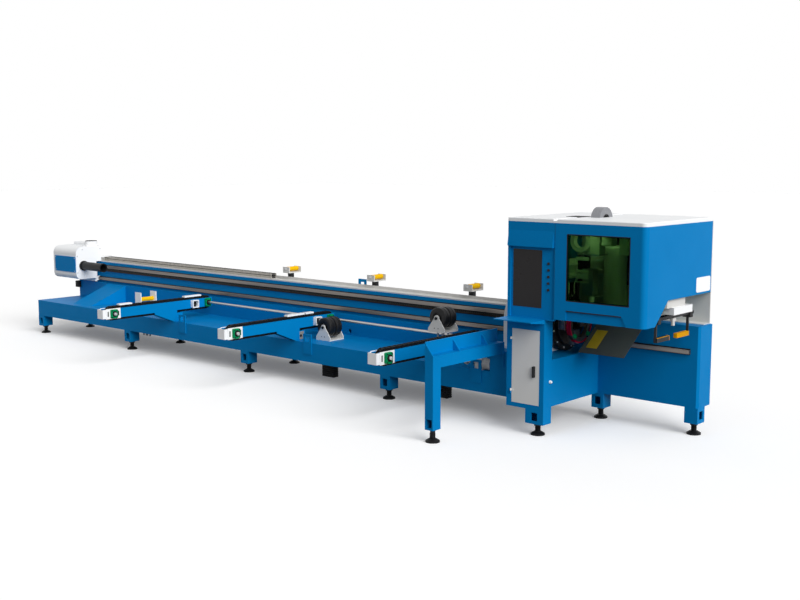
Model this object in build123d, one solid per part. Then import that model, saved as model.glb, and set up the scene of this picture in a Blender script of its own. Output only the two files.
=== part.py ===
from build123d import *
import os
from math import cos, radians, sin

# Side-hung fiber laser machine for cutting tube. All lengths are in millimetres.
# x runs from the left end of the bed, y from its front face (the operator stands at negative y),
# and z from the floor. On saving, the parts are moved so that the origin is under the middle.

CUT_OVERRUN = 5.0
RUN_FIT = 0.05
SLIDE_GAP = 0.3

# Bed: a closed welded box beam along the back.
BED_LENGTH = 9080.0
BED_DEPTH = 235.0
BED_TOP = 923.0
BED_WALL = 12.0
BED_CORNER = 18.0
FRAME_BOTTOM = 235.0
ARCH_WIDTH = 115.0
ARCH_HEIGHT = 88.0
ARCH_THICKNESS = 8.0
ARCH_LEG = 32.0
ARCH_BACK_INSET = 32.0
ARCH_PLACE_SHARE = 0.5589
STOP_LENGTH = 30.0
STOP_DEPTH = 60.0
STOP_HEIGHT = 75.0
STOP_DROP = 290.0

# Axis of the tube being cut.
AXIS_Y = -270.0
AXIS_DROP = 33.0
AXIS_Z = BED_TOP - AXIS_DROP

# Front base: a low box beam, a deck plate and a ledge along the foot of the bed.
BASE_LEFT = 20.0
BASE_DEPTH = 670.0
BASE_HEIGHT = 200.0
BASE_TOP = FRAME_BOTTOM + BASE_HEIGHT
FRONT_BEAM_DEPTH = 80.0
FRONT_BEAM_WALL = 8.0
DECK_THICKNESS = 12.0
LEDGE_DEPTH = 40.0
LEDGE_DROP = 268.0
LEDGE_TOP = BED_TOP - LEDGE_DROP
LEDGE_PLATE = 10.0
LEDGE_HOLE_RADIUS = 22.0
LEDGE_HOLE_RISE = 45.0
LEDGE_HOLE_SHARE = 0.6884
GUSSET_LEFT = 680.0
GUSSET_WIDTH = 400.0
GUSSET_GAP = 30.0
HOOK_WIDTH = 120.0
HOOK_DROP = 118.0
HOOK_RISE = 90.0
HOOK_PLATE = 10.0
HOOK_HOLE = 60.0
HOOK_PLACE_SHARES = (0.4149, 0.6899, 0.9799)

# Pedestal of the front chuck, with a forward part that backs the console cabinet.
PEDESTAL_RIGHT_GAP = 107.0
PEDESTAL_REACH = 90.0
PEDESTAL_WALL = 10.0
PEDESTAL_GAP = 8.0

# Legs and levelling feet.
LEG_WIDTH = 120.0
LEG_DEPTH = 130.0
LEG_BOTTOM = 100.0
LEG_WALL = 10.0
LEG_WINDOW_WIDTH = 62.0
LEG_WINDOW_HEIGHT = 70.0
FRONT_FOOT_SHARES = (0.0104, 0.2692, 0.5571, 0.8317)
BED_FOOT_SHARES = (0.0085, 0.2280, 0.4559, 0.6806, 0.8943)
CONSOLE_LEG_WIDTH = 180.0
PAD_RADIUS = 60.0
PAD_RIM = 14.0
PAD_HEIGHT = 30.0
PAD_NECK = 34.0
SHANK_RADIUS = 22.0
BOLT_RADIUS = 12.0
BOLT_END = 62.0

# Guide rails and gear rack on the front of the bed.
UPPER_RAIL_DROP = 60.0
RAIL_SPACING = 158.0
RAIL_HEIGHT = 36.0
RAIL_DEPTH = 28.0
RAIL_GROOVE = 5.0
RAIL_HEAD = 10.0
UPPER_RAIL_SETBACK = 1480.0
LOWER_RAIL_SETBACK = 80.0
RACK_HEIGHT = 18.0
RACK_DEPTH = 22.0
RACK_GAP = 15.0
UPPER_RAIL_Z = BED_TOP - UPPER_RAIL_DROP
LOWER_RAIL_Z = UPPER_RAIL_Z - RAIL_SPACING

# Cable trough on the bed and the drag chain lying in it.
TROUGH_FRONT = 8.0
TROUGH_BACK_GAP = 5.0
TROUGH_SHEET = 3.0
TROUGH_LIP = 12.0
TROUGH_BACK_HEIGHT = 32.0
TROUGH_SETBACK = 1380.0
CHAIN_DEPTH = 75.0
CHAIN_BACK_GAP = 8.0
CHAIN_HEIGHT = 58.0
CHAIN_PITCH = 70.0
CHAIN_NOTCH = 10.0
CHAIN_FIXED_SHARE = 0.413

# Rear chuck carriage on the rails.
HOUSING_LEFT = -40.0
HOUSING_LENGTH = 530.0
HOUSING_FRONT = -380.0
HOUSING_RISE = 247.0
HOUSING_DROP = 175.0
HOUSING_WALL = 6.0
HOUSING_TOP_ROUND = 90.0
HOUSING_LOW_ROUND = 70.0
HOUSING_BACK_ROUND = 10.0
HOUSING_NOTCH_RISE = 12.0
HOUSING_RIGHT = HOUSING_LEFT + HOUSING_LENGTH
PLATE_STANDOFF = 45.0
PLATE_THICKNESS = 30.0
PLATE_LENGTH = 460.0
PLATE_OVER = 42.0
PLATE_UNDER = 40.0
BLOCK_LENGTH = 90.0
BLOCK_HEIGHT = 56.0
BLOCK_BACK_GAP = 4.0
SIDE_COVER_LENGTH = 478.0
SIDE_COVER_HEIGHT = 204.0
SIDE_COVER_PROUD = 6.0
SIDE_COVER_LIFT = 91.0
SIDE_COVER_ROUND = 8.0
HUMP_LEFT_GAP = 100.0
HUMP_LENGTH = 260.0
HUMP_DEPTH = 130.0
HUMP_HEIGHT = 46.0
HUMP_ROUND = 22.0
DUCT_RADIUS = 78.0
DUCT_WALL = 5.0
DUCT_HEIGHT = 63.0
DUCT_RIGHT_GAP = 95.0
CHAIN_ARM_LENGTH = 80.0
CHAIN_ARM_PLATE = 8.0
SPINDLE_RADIUS = 54.0
SPINDLE_BORE = 45.0
SPINDLE_BORE_DEPTH = 220.0
SPINDLE_NOSE = 455.0
SPINDLE_TAIL = 160.0
FLANGE_RADIUS = 64.0
FLANGE_LENGTH = 25.0
NOSE_LIP = 18.0
NOSE_LIP_RADIUS = 58.0

# Chain loader arms on the front base.
ARM_SHARES = (0.3863, 0.6602, 0.9274)
ARM_WIDTH = 100.0
ARM_WALL = 6.0
ARM_RISE = 177.0
ARM_FRONT = -1572.0
ARM_BACK = -110.0
FRONT_SPROCKET_INSET = 92.0
REAR_SPROCKET_INSET = 73.0
SPROCKET_RADIUS = 50.0
SPROCKET_TOOTH = 6.0
SPROCKET_WIDTH = 20.0
SPROCKET_TEETH = 14
CHAIN_SLOT_SIDE = 6.0
CHAIN_SLOT_REACH = 95.0
LINK_WIDTH = 50.0
LINK_THICKNESS = 28.0
LINK_PITCH = 44.0
LINK_NOTCH = 7.0
SHAFT_RADIUS = 15.0
SHAFT_LEFT_OVERHANG = 110.0
SHAFT_RIGHT_OVERHANG = 190.0
SHAFT_HOLE_GAP = 2.0
BEARING_LENGTH = 80.0
BEARING_HEIGHT = 96.0
BEARING_WIDTH = 28.0
BEARING_ROUND = 12.0
TAKEUP_LENGTH = 184.0
TAKEUP_HEIGHT = 112.0
TAKEUP_PLATE = 6.0
CAP_LENGTH = 40.0
CAP_HEIGHT = 100.0
CAP_SHEET = 5.0
PAD_THICKNESS = 15.0
PAD_START_LENGTH_SHARES = (((0.078, 0.129), (0.764, 0.185)), ((0.554, 0.185), (0.752, 0.087)), ())
STUB_Y = -422.0
STUB_SIZE = 85.0
STUB_REACH = 42.0
STUB_WALL = 6.0
BRACKET_REACH = 260.0
BRACKET_BACK = 50.0
BRACKET_PLATE = 12.0
BRACKET_LIP = 20.0
PILLOW_WIDTH = 66.0
PILLOW_DEPTH = 130.0
PILLOW_FRONT_INSET = 10.0
PILLOW_HEIGHT = 92.0
FRONT_SPROCKET_Y = ARM_FRONT + FRONT_SPROCKET_INSET
REAR_SPROCKET_Y = ARM_BACK - REAR_SPROCKET_INSET
ARM_Z = BASE_TOP + ARM_RISE
ARM_TOP = ARM_Z + SPROCKET_RADIUS
ARM_BOTTOM = ARM_Z - SPROCKET_RADIUS

# Gear motor on the front beam, between the last arm and the pedestal.
GEARBOX_LENGTH = 80.0
GEARBOX_DEPTH = 76.0
GEARBOX_HEIGHT = 110.0
MOTOR_END_GAP = 9.0
MOTOR_RADIUS = 44.0
MOTOR_LENGTH = 80.0
COLLAR_RADIUS = 30.0
COLLAR_LENGTH = 22.0
MOTOR_SHAFT_RADIUS = 12.0
COLLAR_GAPS = (30.0, 108.0)

# Lifting supports that stand on the deck.
WHEEL_SHARES = (0.6928, 0.8957)
SUPPORT_Y = -372.0
WHEEL_RADIUS = 100.0
WHEEL_WIDTH = 84.0
WHEEL_GAP = 8.0
WHEEL_ROUND = 10.0
WHEEL_HUB = 52.0
WHEEL_DISH = 12.0
AXLE_RADIUS = 12.0
AXLE_RISE = 134.0
EAR_THICKNESS = 10.0
EAR_TOP_RADIUS = 28.0
EAR_SHOULDER = 34.0
EAR_GAP = 3.0
LIFT_PLATE = 12.0
LIFT_WIDTH = 200.0
LIFT_STROKE = 242.0
ROD_RADIUS = 10.0
PISTON_RADIUS = 14.0
ROD_SPREAD = 62.0
ROD_ENGAGE = 46.0
ROD_HOLE_GAP = 2.0
GUIDE_LENGTH = 160.0
GUIDE_DEPTH = 70.0
WHEEL_GUIDE_HEIGHT = 378.0
ROLLER_GUIDE_HEIGHT = 120.0
FORK_SHARE = 0.2665
FORK_WIDTH = 115.0
FORK_DEPTH = 230.0
FORK_PLATE = 10.0
FORK_HEIGHT = 240.0
FORK_ROLLER_RISE = 152.0
ROLLER_RADIUS = 26.0
ROLLER_AXLE = 8.0
ROD_LENGTH = LIFT_STROKE + DECK_THICKNESS + ROD_ENGAGE

# Roller stands behind the bed.
STAND_SHARES = (0.4339, 0.5779, 0.7209)
POST_WIDTH = 60.0
POST_DEPTH = 40.0
POST_HEIGHT = 77.0
STAND_FRONT_REACH = 95.0
STAND_DEPTH = 185.0
STAND_WIDTH = 105.0
STAND_PLATE = 10.0
STAND_HEIGHT = 68.0
STAND_ROLLER_RISE = 34.0
STAND_ROLLER_GAP = 3.0
STAND_FRONT = BED_DEPTH - STAND_FRONT_REACH
TROUGH_DEPTH = BED_DEPTH - POST_DEPTH - TROUGH_BACK_GAP - TROUGH_FRONT

# End gate of the loading table.
GATE_GAP = 178.0
GATE_INSET = 70.0
GATE_WIDTH = 85.0
GATE_FRONT = -1640.0
GATE_LEG_DEPTH = 100.0
GATE_LEG_BOTTOM = 105.0
GATE_BEAM_TOP = 717.0
GATE_BEAM_HEIGHT = 100.0
GATE_WALL = 8.0
GATE_STOP_HEIGHT = 113.0
GATE_RIB_DROP = 20.0
GATE_FLANGE_DROP = 120.0
GATE_RIB_SHARES = (0.0, 0.36, 0.76)

# Front chuck: fixed housing, turning rotor and four jaws.
CHUCK_FACE_GAP = 227.0
ROTOR_RADIUS = 250.0
ROTOR_LENGTH = 110.0
ROTOR_BORE = 105.0
ROTOR_SLEEVE = 125.0
ROTOR_STEP = 200.0
ROTOR_STEP_LENGTH = 30.0
CHUCK_HOUSING_LENGTH = 430.0
CHUCK_HOUSING_RADIUS = 236.0
CHUCK_FOOT_HEIGHT = 24.0
CHUCK_FOOT_SIDE = 20.0
ROTOR_GAP = 4.0
JAW_WIDTH = 90.0
JAW_INNER = 62.0
JAW_OUTER = 190.0
JAW_LENGTH = 62.0
JAW_STEP = 28.0
PEDESTAL_TOP = AXIS_Z - ROTOR_RADIUS - PEDESTAL_GAP

# Enclosure: cabin on the right, operator console on its left.
CABIN_RIGHT_SETBACK = 30.0
CABIN_WIDTH = 823.0
CONSOLE_WIDTH = 464.0
CABIN_RISE = 861.0
CABIN_WALL = 24.0
CABIN_ROUND = 45.0
FRONT_BOTTOM_RISE = 77.0
SIDE_BOTTOM_RISE = 267.0
SIDE_OPEN_GAP = 4.0
SIDE_CHAMFER_RUN = 203.0
WINDOW_LEFT_GAP = 111.0
WINDOW_RIGHT_GAP = 137.0
WINDOW_BOTTOM_GAP = 158.0
WINDOW_TOP_GAP = 84.0
WINDOW_REBATE = 12.0
GLASS_THICKNESS = 6.0
GLASS_INSET = 6.0
SKIRT_LEFT_GAP = 113.0
SKIRT_RIGHT_GAP = 204.0
SKIRT_FLARE = 44.0
SKIRT_HEIGHT = 80.0
SKIRT_DEPTH = 10.0
ROOF_THICKNESS = 31.0
ROOF_ROUND = 8.0
ROOF_SPLIT = 34.0
ROOF_STRIP_DROP = 15.0
ROOF_SLOT_LENGTH = 100.0
ROOF_SLOT_DEPTH = 80.0
ROOF_SLOT_Y = -455.0
REAR_SHEET = 12.0
REAR_FLANGE_DEPTH = 105.0
REAR_FLANGE_SHEET = 6.0
CABIN_RIGHT = BED_LENGTH - CABIN_RIGHT_SETBACK
CABIN_LEFT = CABIN_RIGHT - CABIN_WIDTH
CONSOLE_LEFT = CABIN_LEFT - CONSOLE_WIDTH
CHUCK_FACE = CABIN_LEFT - CHUCK_FACE_GAP
PEDESTAL_RIGHT = CABIN_LEFT - PEDESTAL_RIGHT_GAP
GATE_LEFT = CONSOLE_LEFT - GATE_GAP - GATE_WIDTH
PEDESTAL_LEFT = GATE_LEFT - GATE_INSET
CABIN_TOP = BED_TOP + CABIN_RISE
FRONT_BOTTOM = BED_TOP + FRONT_BOTTOM_RISE
SIDE_BOTTOM = BED_TOP + SIDE_BOTTOM_RISE
SIDE_OPEN_FRONT = AXIS_Y - CHUCK_HOUSING_RADIUS - SIDE_OPEN_GAP
SIDE_CHAMFER_FRONT = SIDE_OPEN_FRONT - SIDE_CHAMFER_RUN
REAR_INNER = BED_DEPTH - REAR_SHEET

# Exhaust fan standing in a slot of the roof.
FAN_GAP = 88.0
FAN_WIDTH = 85.0
FAN_RADIUS = 104.0
FAN_Y = -390.0
FAN_RISE = 11.0
FAN_SHEET = 4.0
FAN_EYE = 34.0
FAN_SIDE_GAP = 2.0
WHEEL_TIP = 92.0
WHEEL_ROOT = 60.0
WHEEL_PLATE = 4.0
WHEEL_CLEAR = 5.0
FAN_HUB = 22.0
FAN_HUB_LENGTH = 20.0
FAN_SHAFT = 8.0
BLADE_COUNT = 14
BLADE_THICKNESS = 3.0

# Operator console.
CONSOLE_PANEL = 30.0
CONSOLE_WALL = 24.0
RECESS_DEPTH = 15.0
RECESS_SIDE = 26.0
RECESS_SEAM = 5.0
HOOD_HEIGHT = 204.0
SHELF_DROP = 15.0
SCREEN_LEFT_GAP = 47.0
SCREEN_RIGHT_GAP = 132.0
SCREEN_BOTTOM_GAP = 92.0
SCREEN_TOP_GAP = 25.0
SCREEN_THICKNESS = 12.0
SCREEN_PROUD = 2.0
BUTTON_RIGHT_GAP = 67.0
BUTTON_RADIUS = 11.0
BUTTON_PITCH = 54.0
BUTTON_TOP_GAP = 131.0
BUTTON_COUNT = 5
BUTTON_PROUD = 9.0
BUTTON_RIM = 13.0
BUTTON_RIM_LENGTH = 3.0
BUTTON_ROUND = 2.0
CABINET_WIDTH = 376.0
CABINET_DEPTH = 120.0
CABINET_BOTTOM = 222.0
CABINET_WALL = 10.0
DOOR_LEFT_GAP = 53.0
DOOR_RIGHT_GAP = 45.0
DOOR_BOTTOM_GAP = 36.0
DOOR_TOP_GAP = 96.0
DOOR_THICKNESS = 12.0
DOOR_GAP = 1.0
HINGE_RADIUS = 6.0
HINGE_PIN = 3.0
HINGE_LENGTH = 40.0
HINGE_LEAF = 3.0
HINGE_LEAF_WIDTH = 26.0
HINGE_SHARES = (0.12, 0.82)
HANDLE_RIGHT_GAP = 40.0
HANDLE_LOW_GAP = 237.0
HANDLE_HEIGHT = 94.0
HANDLE_WIDTH = 20.0
HANDLE_PROUD = 24.0
HANDLE_ROUND = 4.0
SHELF_THICKNESS = 34.0
SHELF_EDGE = 8.0
SHELF_REACH = 195.0
CONSOLE_BOTTOM = FRONT_BOTTOM - SHELF_DROP
CONSOLE_RECESS_TOP = CABIN_TOP - HOOD_HEIGHT
DOOR_HEIGHT = CONSOLE_BOTTOM - CABINET_BOTTOM - DOOR_BOTTOM_GAP - DOOR_TOP_GAP
CABIN_FRONT = -BASE_DEPTH - PEDESTAL_REACH - CABINET_DEPTH
CONSOLE_FACE = CABIN_FRONT + RECESS_DEPTH
CABINET_RIGHT = CONSOLE_LEFT + CABINET_WIDTH
CABINET_BACK = CABIN_FRONT + CABINET_DEPTH

# Cutting head on a cross beam inside the cabin.
HEAD_BEAM_OVERHANG = 85.0
HEAD_BEAM_WIDTH = 120.0
HEAD_BEAM_HEIGHT = 150.0
HEAD_BEAM_RISE = 400.0
HEAD_BEAM_WALL = 8.0
HEAD_BEAM_FRONT = -600.0
HEAD_RAIL = 20.0
HEAD_RAIL_SPACING = 90.0
SLIDE_WIDTH = 170.0
SLIDE_HEIGHT = 240.0
SLIDE_PLATE = 16.0
SLIDE_GRIP = 12.0
LIFT_RAIL = 18.0
LIFT_RAIL_DEPTH = 14.0
HEAD_BACK = 14.0
HEAD_WIDTH = 84.0
HEAD_DEPTH = 78.0
HEAD_BODY = 230.0
HEAD_BARREL = 32.0
HEAD_BARREL_LENGTH = 90.0
NOZZLE_LENGTH = 48.0
NOZZLE_TIP = 8.0
NOZZLE_GAP = 105.0

# Part chute under the head, hinged on the bed.
CHUTE_LEFT_GAP = 165.0
CHUTE_WIDTH = 440.0
CHUTE_LENGTH = 417.0
CHUTE_SHEET = 6.0
CHUTE_ANGLE = 36.0
CHUTE_PIN = 8.0
CHUTE_EYE = 14.0
CHUTE_PIN_REACH = 62.0
CHUTE_PIN_DROP = 18.0
LUG_THICKNESS = 12.0
LUG_RADIUS = 18.0
LUG_GAP = 1.0
CHUTE_PAD_THICKNESS = 2.0
CHUTE_PAD_LEFT = 45.0
CHUTE_PAD_WIDTH = 105.0
CHUTE_PAD_START = 60.0
CHUTE_PAD_LENGTH = 250.0

# Finished-part gripper at the right end.
GRIP_SETBACK = 80.0
GRIP_BODY_WIDTH = 90.0
GRIP_BODY_FRONT = -400.0
GRIP_BODY_BACK = -85.0
GRIP_BODY_RISE = 168.0
GRIP_BODY_HEIGHT = 60.0
GRIP_HANGER_FRONT = -480.0
GRIP_HANGER_LENGTH = 300.0
GRIP_HANGER_WIDTH = 70.0
GRIP_HANGER_OVERLAP = 60.0
BAR_WIDTH = 50.0
BAR_HEIGHT = 25.0
BAR_FRONT = -662.0
BAR_BACK = -18.0
SLIDER_SIDE = 10.0
SLIDER_DROP = 24.0
SLIDER_GRIP = 20.0
SLIDER_LENGTH = 44.0
FRONT_SLIDER_Y = -610.0
REAR_SLIDER_Y = -75.0
FINGER_WIDTH = 18.0
FINGER_DEPTH = 16.0
FINGER_DROP = 32.0
JAW_PAD_HEIGHT = 36.0
JAW_PAD_WIDTH = 32.0
FRONT_PAD_END = -407.0
REAR_PAD_END = -279.0
GRIP_X = BED_LENGTH - GRIP_SETBACK

# Overall extremes, for the origin under the middle of the machine.
BOX_LEFT = HOUSING_LEFT
BOX_RIGHT = BED_LENGTH + max(0, PAD_RADIUS - LEG_WIDTH / 2)
BOX_FRONT = GATE_FRONT - max(0, PAD_RADIUS - GATE_LEG_DEPTH / 2)
BOX_BACK = STAND_FRONT + STAND_DEPTH


def block(x0, x1, y0, y1, z0, z1):
    """Box between two opposite corners."""
    return Pos((x0 + x1) / 2, (y0 + y1) / 2, (z0 + z1) / 2) * Box(x1 - x0, y1 - y0, z1 - z0)


def rod_x(radius, x0, x1, y, z):
    """Round bar along x."""
    return Pos((x0 + x1) / 2, y, z) * Rot(0, 90, 0) * Cylinder(radius, x1 - x0)


def rod_y(radius, y0, y1, x, z):
    """Round bar along y."""
    return Pos(x, (y0 + y1) / 2, z) * Rot(90, 0, 0) * Cylinder(radius, y1 - y0)


def rod_z(radius, z0, z1, x, y):
    """Round bar along z."""
    return Pos(x, y, (z0 + z1) / 2) * Cylinder(radius, z1 - z0)


def prism_x(points, x0, x1):
    """Outline of (y, z) points carried from x0 to x1."""
    return extrude(Plane.YZ.offset(x0) * make_face(Polyline(*points, close=True)), amount=x1 - x0)


def prism_y(points, y0, y1):
    """Outline of (x, z) points carried from y0 to y1."""
    return extrude(Plane.XZ.offset(-y1) * make_face(Polyline(*points, close=True)), amount=y1 - y0)


def prism_z(points, z0, z1):
    """Outline of (x, y) points carried from z0 to z1."""
    return extrude(Plane.XY.offset(z0) * make_face(Polyline(*points, close=True)), amount=z1 - z0)


def turned(points):
    """Outline of (radius, height) points turned about the z axis."""
    return revolve(Plane.XZ * make_face(Polyline(*points, close=True)), axis=Axis.Z)


def tube_box(x0, x1, y0, y1, z0, z1, wall):
    """Closed hollow box with one wall thickness."""
    core = block(x0 + wall, x1 - wall, y0 + wall, y1 - wall, z0 + wall, z1 - wall)
    return block(x0, x1, y0, y1, z0, z1) - core


def save(name, *shapes):
    """Write one node, moved so that the origin is under the middle of the machine."""
    move = Pos(-(BOX_LEFT + BOX_RIGHT) / 2, -(BOX_FRONT + BOX_BACK) / 2, 0)
    solids = [move * solid for shape in shapes for solid in shape.solids()]
    export_step(Compound(solids), f"parts/{name}.step")


def places(shares):
    """Places along the bed from shares of its length."""
    return [share * BED_LENGTH for share in shares]


def loader_places(shares):
    """Places along the loading table from shares of its length, from the bed's left end to the pedestal."""
    return [share * PEDESTAL_LEFT for share in shares]


# Frame


def bed_beam():
    """Box beam, and the plates welded on it: the cable arch, the end stop and the chute lugs."""
    bed = block(0, BED_LENGTH, 0, BED_DEPTH, FRAME_BOTTOM, BED_TOP)
    bed = chamfer(bed.edges().filter_by(Axis.Z).group_by(Axis.X)[-1], BED_CORNER)
    bed -= block(BED_WALL, BED_LENGTH - BED_WALL, BED_WALL, BED_DEPTH - BED_WALL,
                 FRAME_BOTTOM + BED_WALL, BED_TOP - BED_WALL)
    x = ARCH_PLACE_SHARE * BED_LENGTH
    back = BED_DEPTH - ARCH_BACK_INSET
    arch = block(x - ARCH_WIDTH / 2, x + ARCH_WIDTH / 2, back - ARCH_THICKNESS, back,
                 BED_TOP, BED_TOP + ARCH_HEIGHT)
    arch -= block(x - ARCH_WIDTH / 2 + ARCH_LEG, x + ARCH_WIDTH / 2 - ARCH_LEG,
                  back - ARCH_THICKNESS - CUT_OVERRUN, back + CUT_OVERRUN,
                  BED_TOP - CUT_OVERRUN, BED_TOP + ARCH_HEIGHT - ARCH_LEG)
    stop_top = BED_TOP - STOP_DROP
    stop = block(-STOP_LENGTH, 0, 0, STOP_DEPTH, stop_top - STOP_HEIGHT, stop_top)
    lugs = [chute_lug(chute_left() - LUG_GAP - LUG_THICKNESS),
            chute_lug(chute_left() + CHUTE_WIDTH + LUG_GAP)]
    return [bed, arch, stop, *lugs]


def chute_left():
    """Left edge of the part chute."""
    return CHUCK_FACE + CHUTE_LEFT_GAP


def chute_pin():
    """Place (y, z) of the chute's hinge pin."""
    return -CHUTE_PIN_REACH, BED_TOP - CHUTE_PIN_DROP


def chute_lug(x):
    """Plate on the front of the bed that holds one end of the chute's pin."""
    y, z = chute_pin()
    lug = block(x, x + LUG_THICKNESS, y, 0, z - LUG_RADIUS, z + LUG_RADIUS)
    lug += rod_x(LUG_RADIUS, x, x + LUG_THICKNESS, y, z)
    return lug - rod_x(CHUTE_PIN + RUN_FIT, x - CUT_OVERRUN, x + LUG_THICKNESS + CUT_OVERRUN, y, z)


def front_beam():
    """Low front box beam, and the arm brackets, pillow blocks and hook plates fixed on it."""
    pieces = [tube_box(BASE_LEFT, PEDESTAL_LEFT, -BASE_DEPTH, -BASE_DEPTH + FRONT_BEAM_DEPTH,
                       FRAME_BOTTOM, BASE_TOP, FRONT_BEAM_WALL)]
    reach, back = -BASE_DEPTH - BRACKET_REACH, -BASE_DEPTH + BRACKET_BACK
    for x in loader_places(ARM_SHARES):
        outline = [(reach, ARM_BOTTOM), (back, ARM_BOTTOM), (back, BASE_TOP), (-BASE_DEPTH, BASE_TOP),
                   (reach, ARM_BOTTOM - BRACKET_LIP)]
        for side in (x - ARM_WIDTH / 2, x + ARM_WIDTH / 2 - BRACKET_PLATE):
            pieces.append(prism_x(outline, side, side + BRACKET_PLATE))
        front = -BASE_DEPTH + PILLOW_FRONT_INSET
        pieces.append(block(x - PILLOW_WIDTH / 2, x + PILLOW_WIDTH / 2, front, front + PILLOW_DEPTH,
                            BASE_TOP, BASE_TOP + PILLOW_HEIGHT))
    for x in loader_places(HOOK_PLACE_SHARES):
        hook = block(x - HOOK_WIDTH / 2, x + HOOK_WIDTH / 2, -BASE_DEPTH - HOOK_PLATE, -BASE_DEPTH,
                     BASE_TOP - HOOK_DROP, BASE_TOP + HOOK_RISE)
        hook -= block(x - HOOK_HOLE / 2, x + HOOK_HOLE / 2, -BASE_DEPTH - HOOK_PLATE - CUT_OVERRUN,
                      -BASE_DEPTH + CUT_OVERRUN, BASE_TOP + HOOK_PLATE,
                      BASE_TOP + HOOK_PLATE + HOOK_HOLE)
        pieces.append(hook)
    return pieces


def lift_places():
    """Places along x of the two wheel lifts and the roller lift."""
    return loader_places((*WHEEL_SHARES, FORK_SHARE))


def rod_offsets():
    """Offsets along x and radii of a lift's two guide rods and its piston rod."""
    return [(-ROD_SPREAD, ROD_RADIUS), (0, PISTON_RADIUS), (ROD_SPREAD, ROD_RADIUS)]


def deck_plate():
    """Deck between front beam and bed with holes for the lift rods, and the ledge and gusset on it."""
    front = -BASE_DEPTH + FRONT_BEAM_DEPTH
    deck = block(BASE_LEFT, PEDESTAL_LEFT, front, 0, BASE_TOP - DECK_THICKNESS, BASE_TOP)
    ledge = block(BASE_LEFT, PEDESTAL_LEFT, -LEDGE_DEPTH, 0, BASE_TOP, LEDGE_TOP)
    ledge -= block(BASE_LEFT - CUT_OVERRUN, PEDESTAL_LEFT + CUT_OVERRUN, -LEDGE_DEPTH + LEDGE_PLATE,
                   CUT_OVERRUN, BASE_TOP, LEDGE_TOP - LEDGE_PLATE)
    ledge -= rod_y(LEDGE_HOLE_RADIUS, -LEDGE_DEPTH - CUT_OVERRUN, -LEDGE_DEPTH + LEDGE_PLATE + CUT_OVERRUN,
                   LEDGE_HOLE_SHARE * PEDESTAL_LEFT, BASE_TOP + LEDGE_HOLE_RISE)
    slope = [(front + GUSSET_GAP, BASE_TOP), (-LEDGE_DEPTH, BASE_TOP),
             (-LEDGE_DEPTH, LEDGE_TOP - LEDGE_PLATE)]
    gusset = prism_x(slope, GUSSET_LEFT, GUSSET_LEFT + GUSSET_WIDTH)
    for x in lift_places():
        for offset_x, radius in rod_offsets():
            deck -= rod_z(radius + ROD_HOLE_GAP, BASE_TOP - DECK_THICKNESS - CUT_OVERRUN,
                          BASE_TOP + CUT_OVERRUN, x + offset_x, SUPPORT_Y)
    return [deck, ledge, gusset]


def chuck_pedestal():
    """Box under the front chuck, open below, with the forward part behind the console cabinet."""
    wall = PEDESTAL_WALL
    rear = block(PEDESTAL_LEFT, PEDESTAL_RIGHT, -BASE_DEPTH, 0, FRAME_BOTTOM, PEDESTAL_TOP)
    rear -= block(PEDESTAL_LEFT + wall, PEDESTAL_RIGHT - wall, -BASE_DEPTH + wall, -wall,
                  FRAME_BOTTOM - CUT_OVERRUN, PEDESTAL_TOP - wall)
    front = block(CONSOLE_LEFT, PEDESTAL_RIGHT, CABINET_BACK, -BASE_DEPTH, FRAME_BOTTOM, PEDESTAL_TOP)
    front -= block(CONSOLE_LEFT + wall, PEDESTAL_RIGHT - wall, CABINET_BACK + wall, -BASE_DEPTH,
                   FRAME_BOTTOM - CUT_OVERRUN, PEDESTAL_TOP - wall)
    return rear + front


def foot_places():
    """Places (x, y, height of the leg's lower face) of every levelling foot."""
    front = [(x, -BASE_DEPTH + LEG_DEPTH / 2, LEG_BOTTOM) for x in loader_places(FRONT_FOOT_SHARES)]
    back = [(x, LEG_DEPTH / 2, LEG_BOTTOM) for x in places(BED_FOOT_SHARES)]
    back.append((BED_LENGTH - LEG_WIDTH / 2, LEG_DEPTH / 2, LEG_BOTTOM))
    gate = (GATE_LEFT + GATE_WIDTH / 2, GATE_FRONT + GATE_LEG_DEPTH / 2, GATE_LEG_BOTTOM)
    console = (CABINET_RIGHT - CONSOLE_LEG_WIDTH / 2, CABIN_FRONT + CABINET_DEPTH / 2, LEG_BOTTOM)
    return front, back, gate, console


def leg(x, y, width, depth, top, side):
    """Hollow leg block with a window in its front (side 0) or right (side 1) wall."""
    box = tube_box(x - width / 2, x + width / 2, y - depth / 2, y + depth / 2, LEG_BOTTOM, top, LEG_WALL)
    low = (LEG_BOTTOM + top - LEG_WINDOW_HEIGHT) / 2
    high = low + LEG_WINDOW_HEIGHT
    half = LEG_WINDOW_WIDTH / 2
    if side:
        box -= block(x, x + width / 2 + CUT_OVERRUN, y - half, y + half, low, high)
    else:
        box -= block(x - half, x + half, y - depth / 2 - CUT_OVERRUN, y, low, high)
    hole = BOLT_RADIUS + SLIDE_GAP
    return box - rod_z(hole, LEG_BOTTOM - CUT_OVERRUN, LEG_BOTTOM + LEG_WALL + CUT_OVERRUN, x, y)


def leg_blocks():
    """Leg blocks under the front beam, the bed and the console cabinet."""
    front, back, gate, console = foot_places()
    legs = [leg(x, y, LEG_WIDTH, LEG_DEPTH, FRAME_BOTTOM, 0) for x, y, low in front + back[:-1]]
    x, y, low = back[-1]
    legs.append(leg(x, y, LEG_WIDTH, LEG_DEPTH, FRAME_BOTTOM, 1))
    x, y, low = console
    legs.append(leg(x, y, CONSOLE_LEG_WIDTH, CABINET_DEPTH, CABINET_BOTTOM, 0))
    return legs


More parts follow.
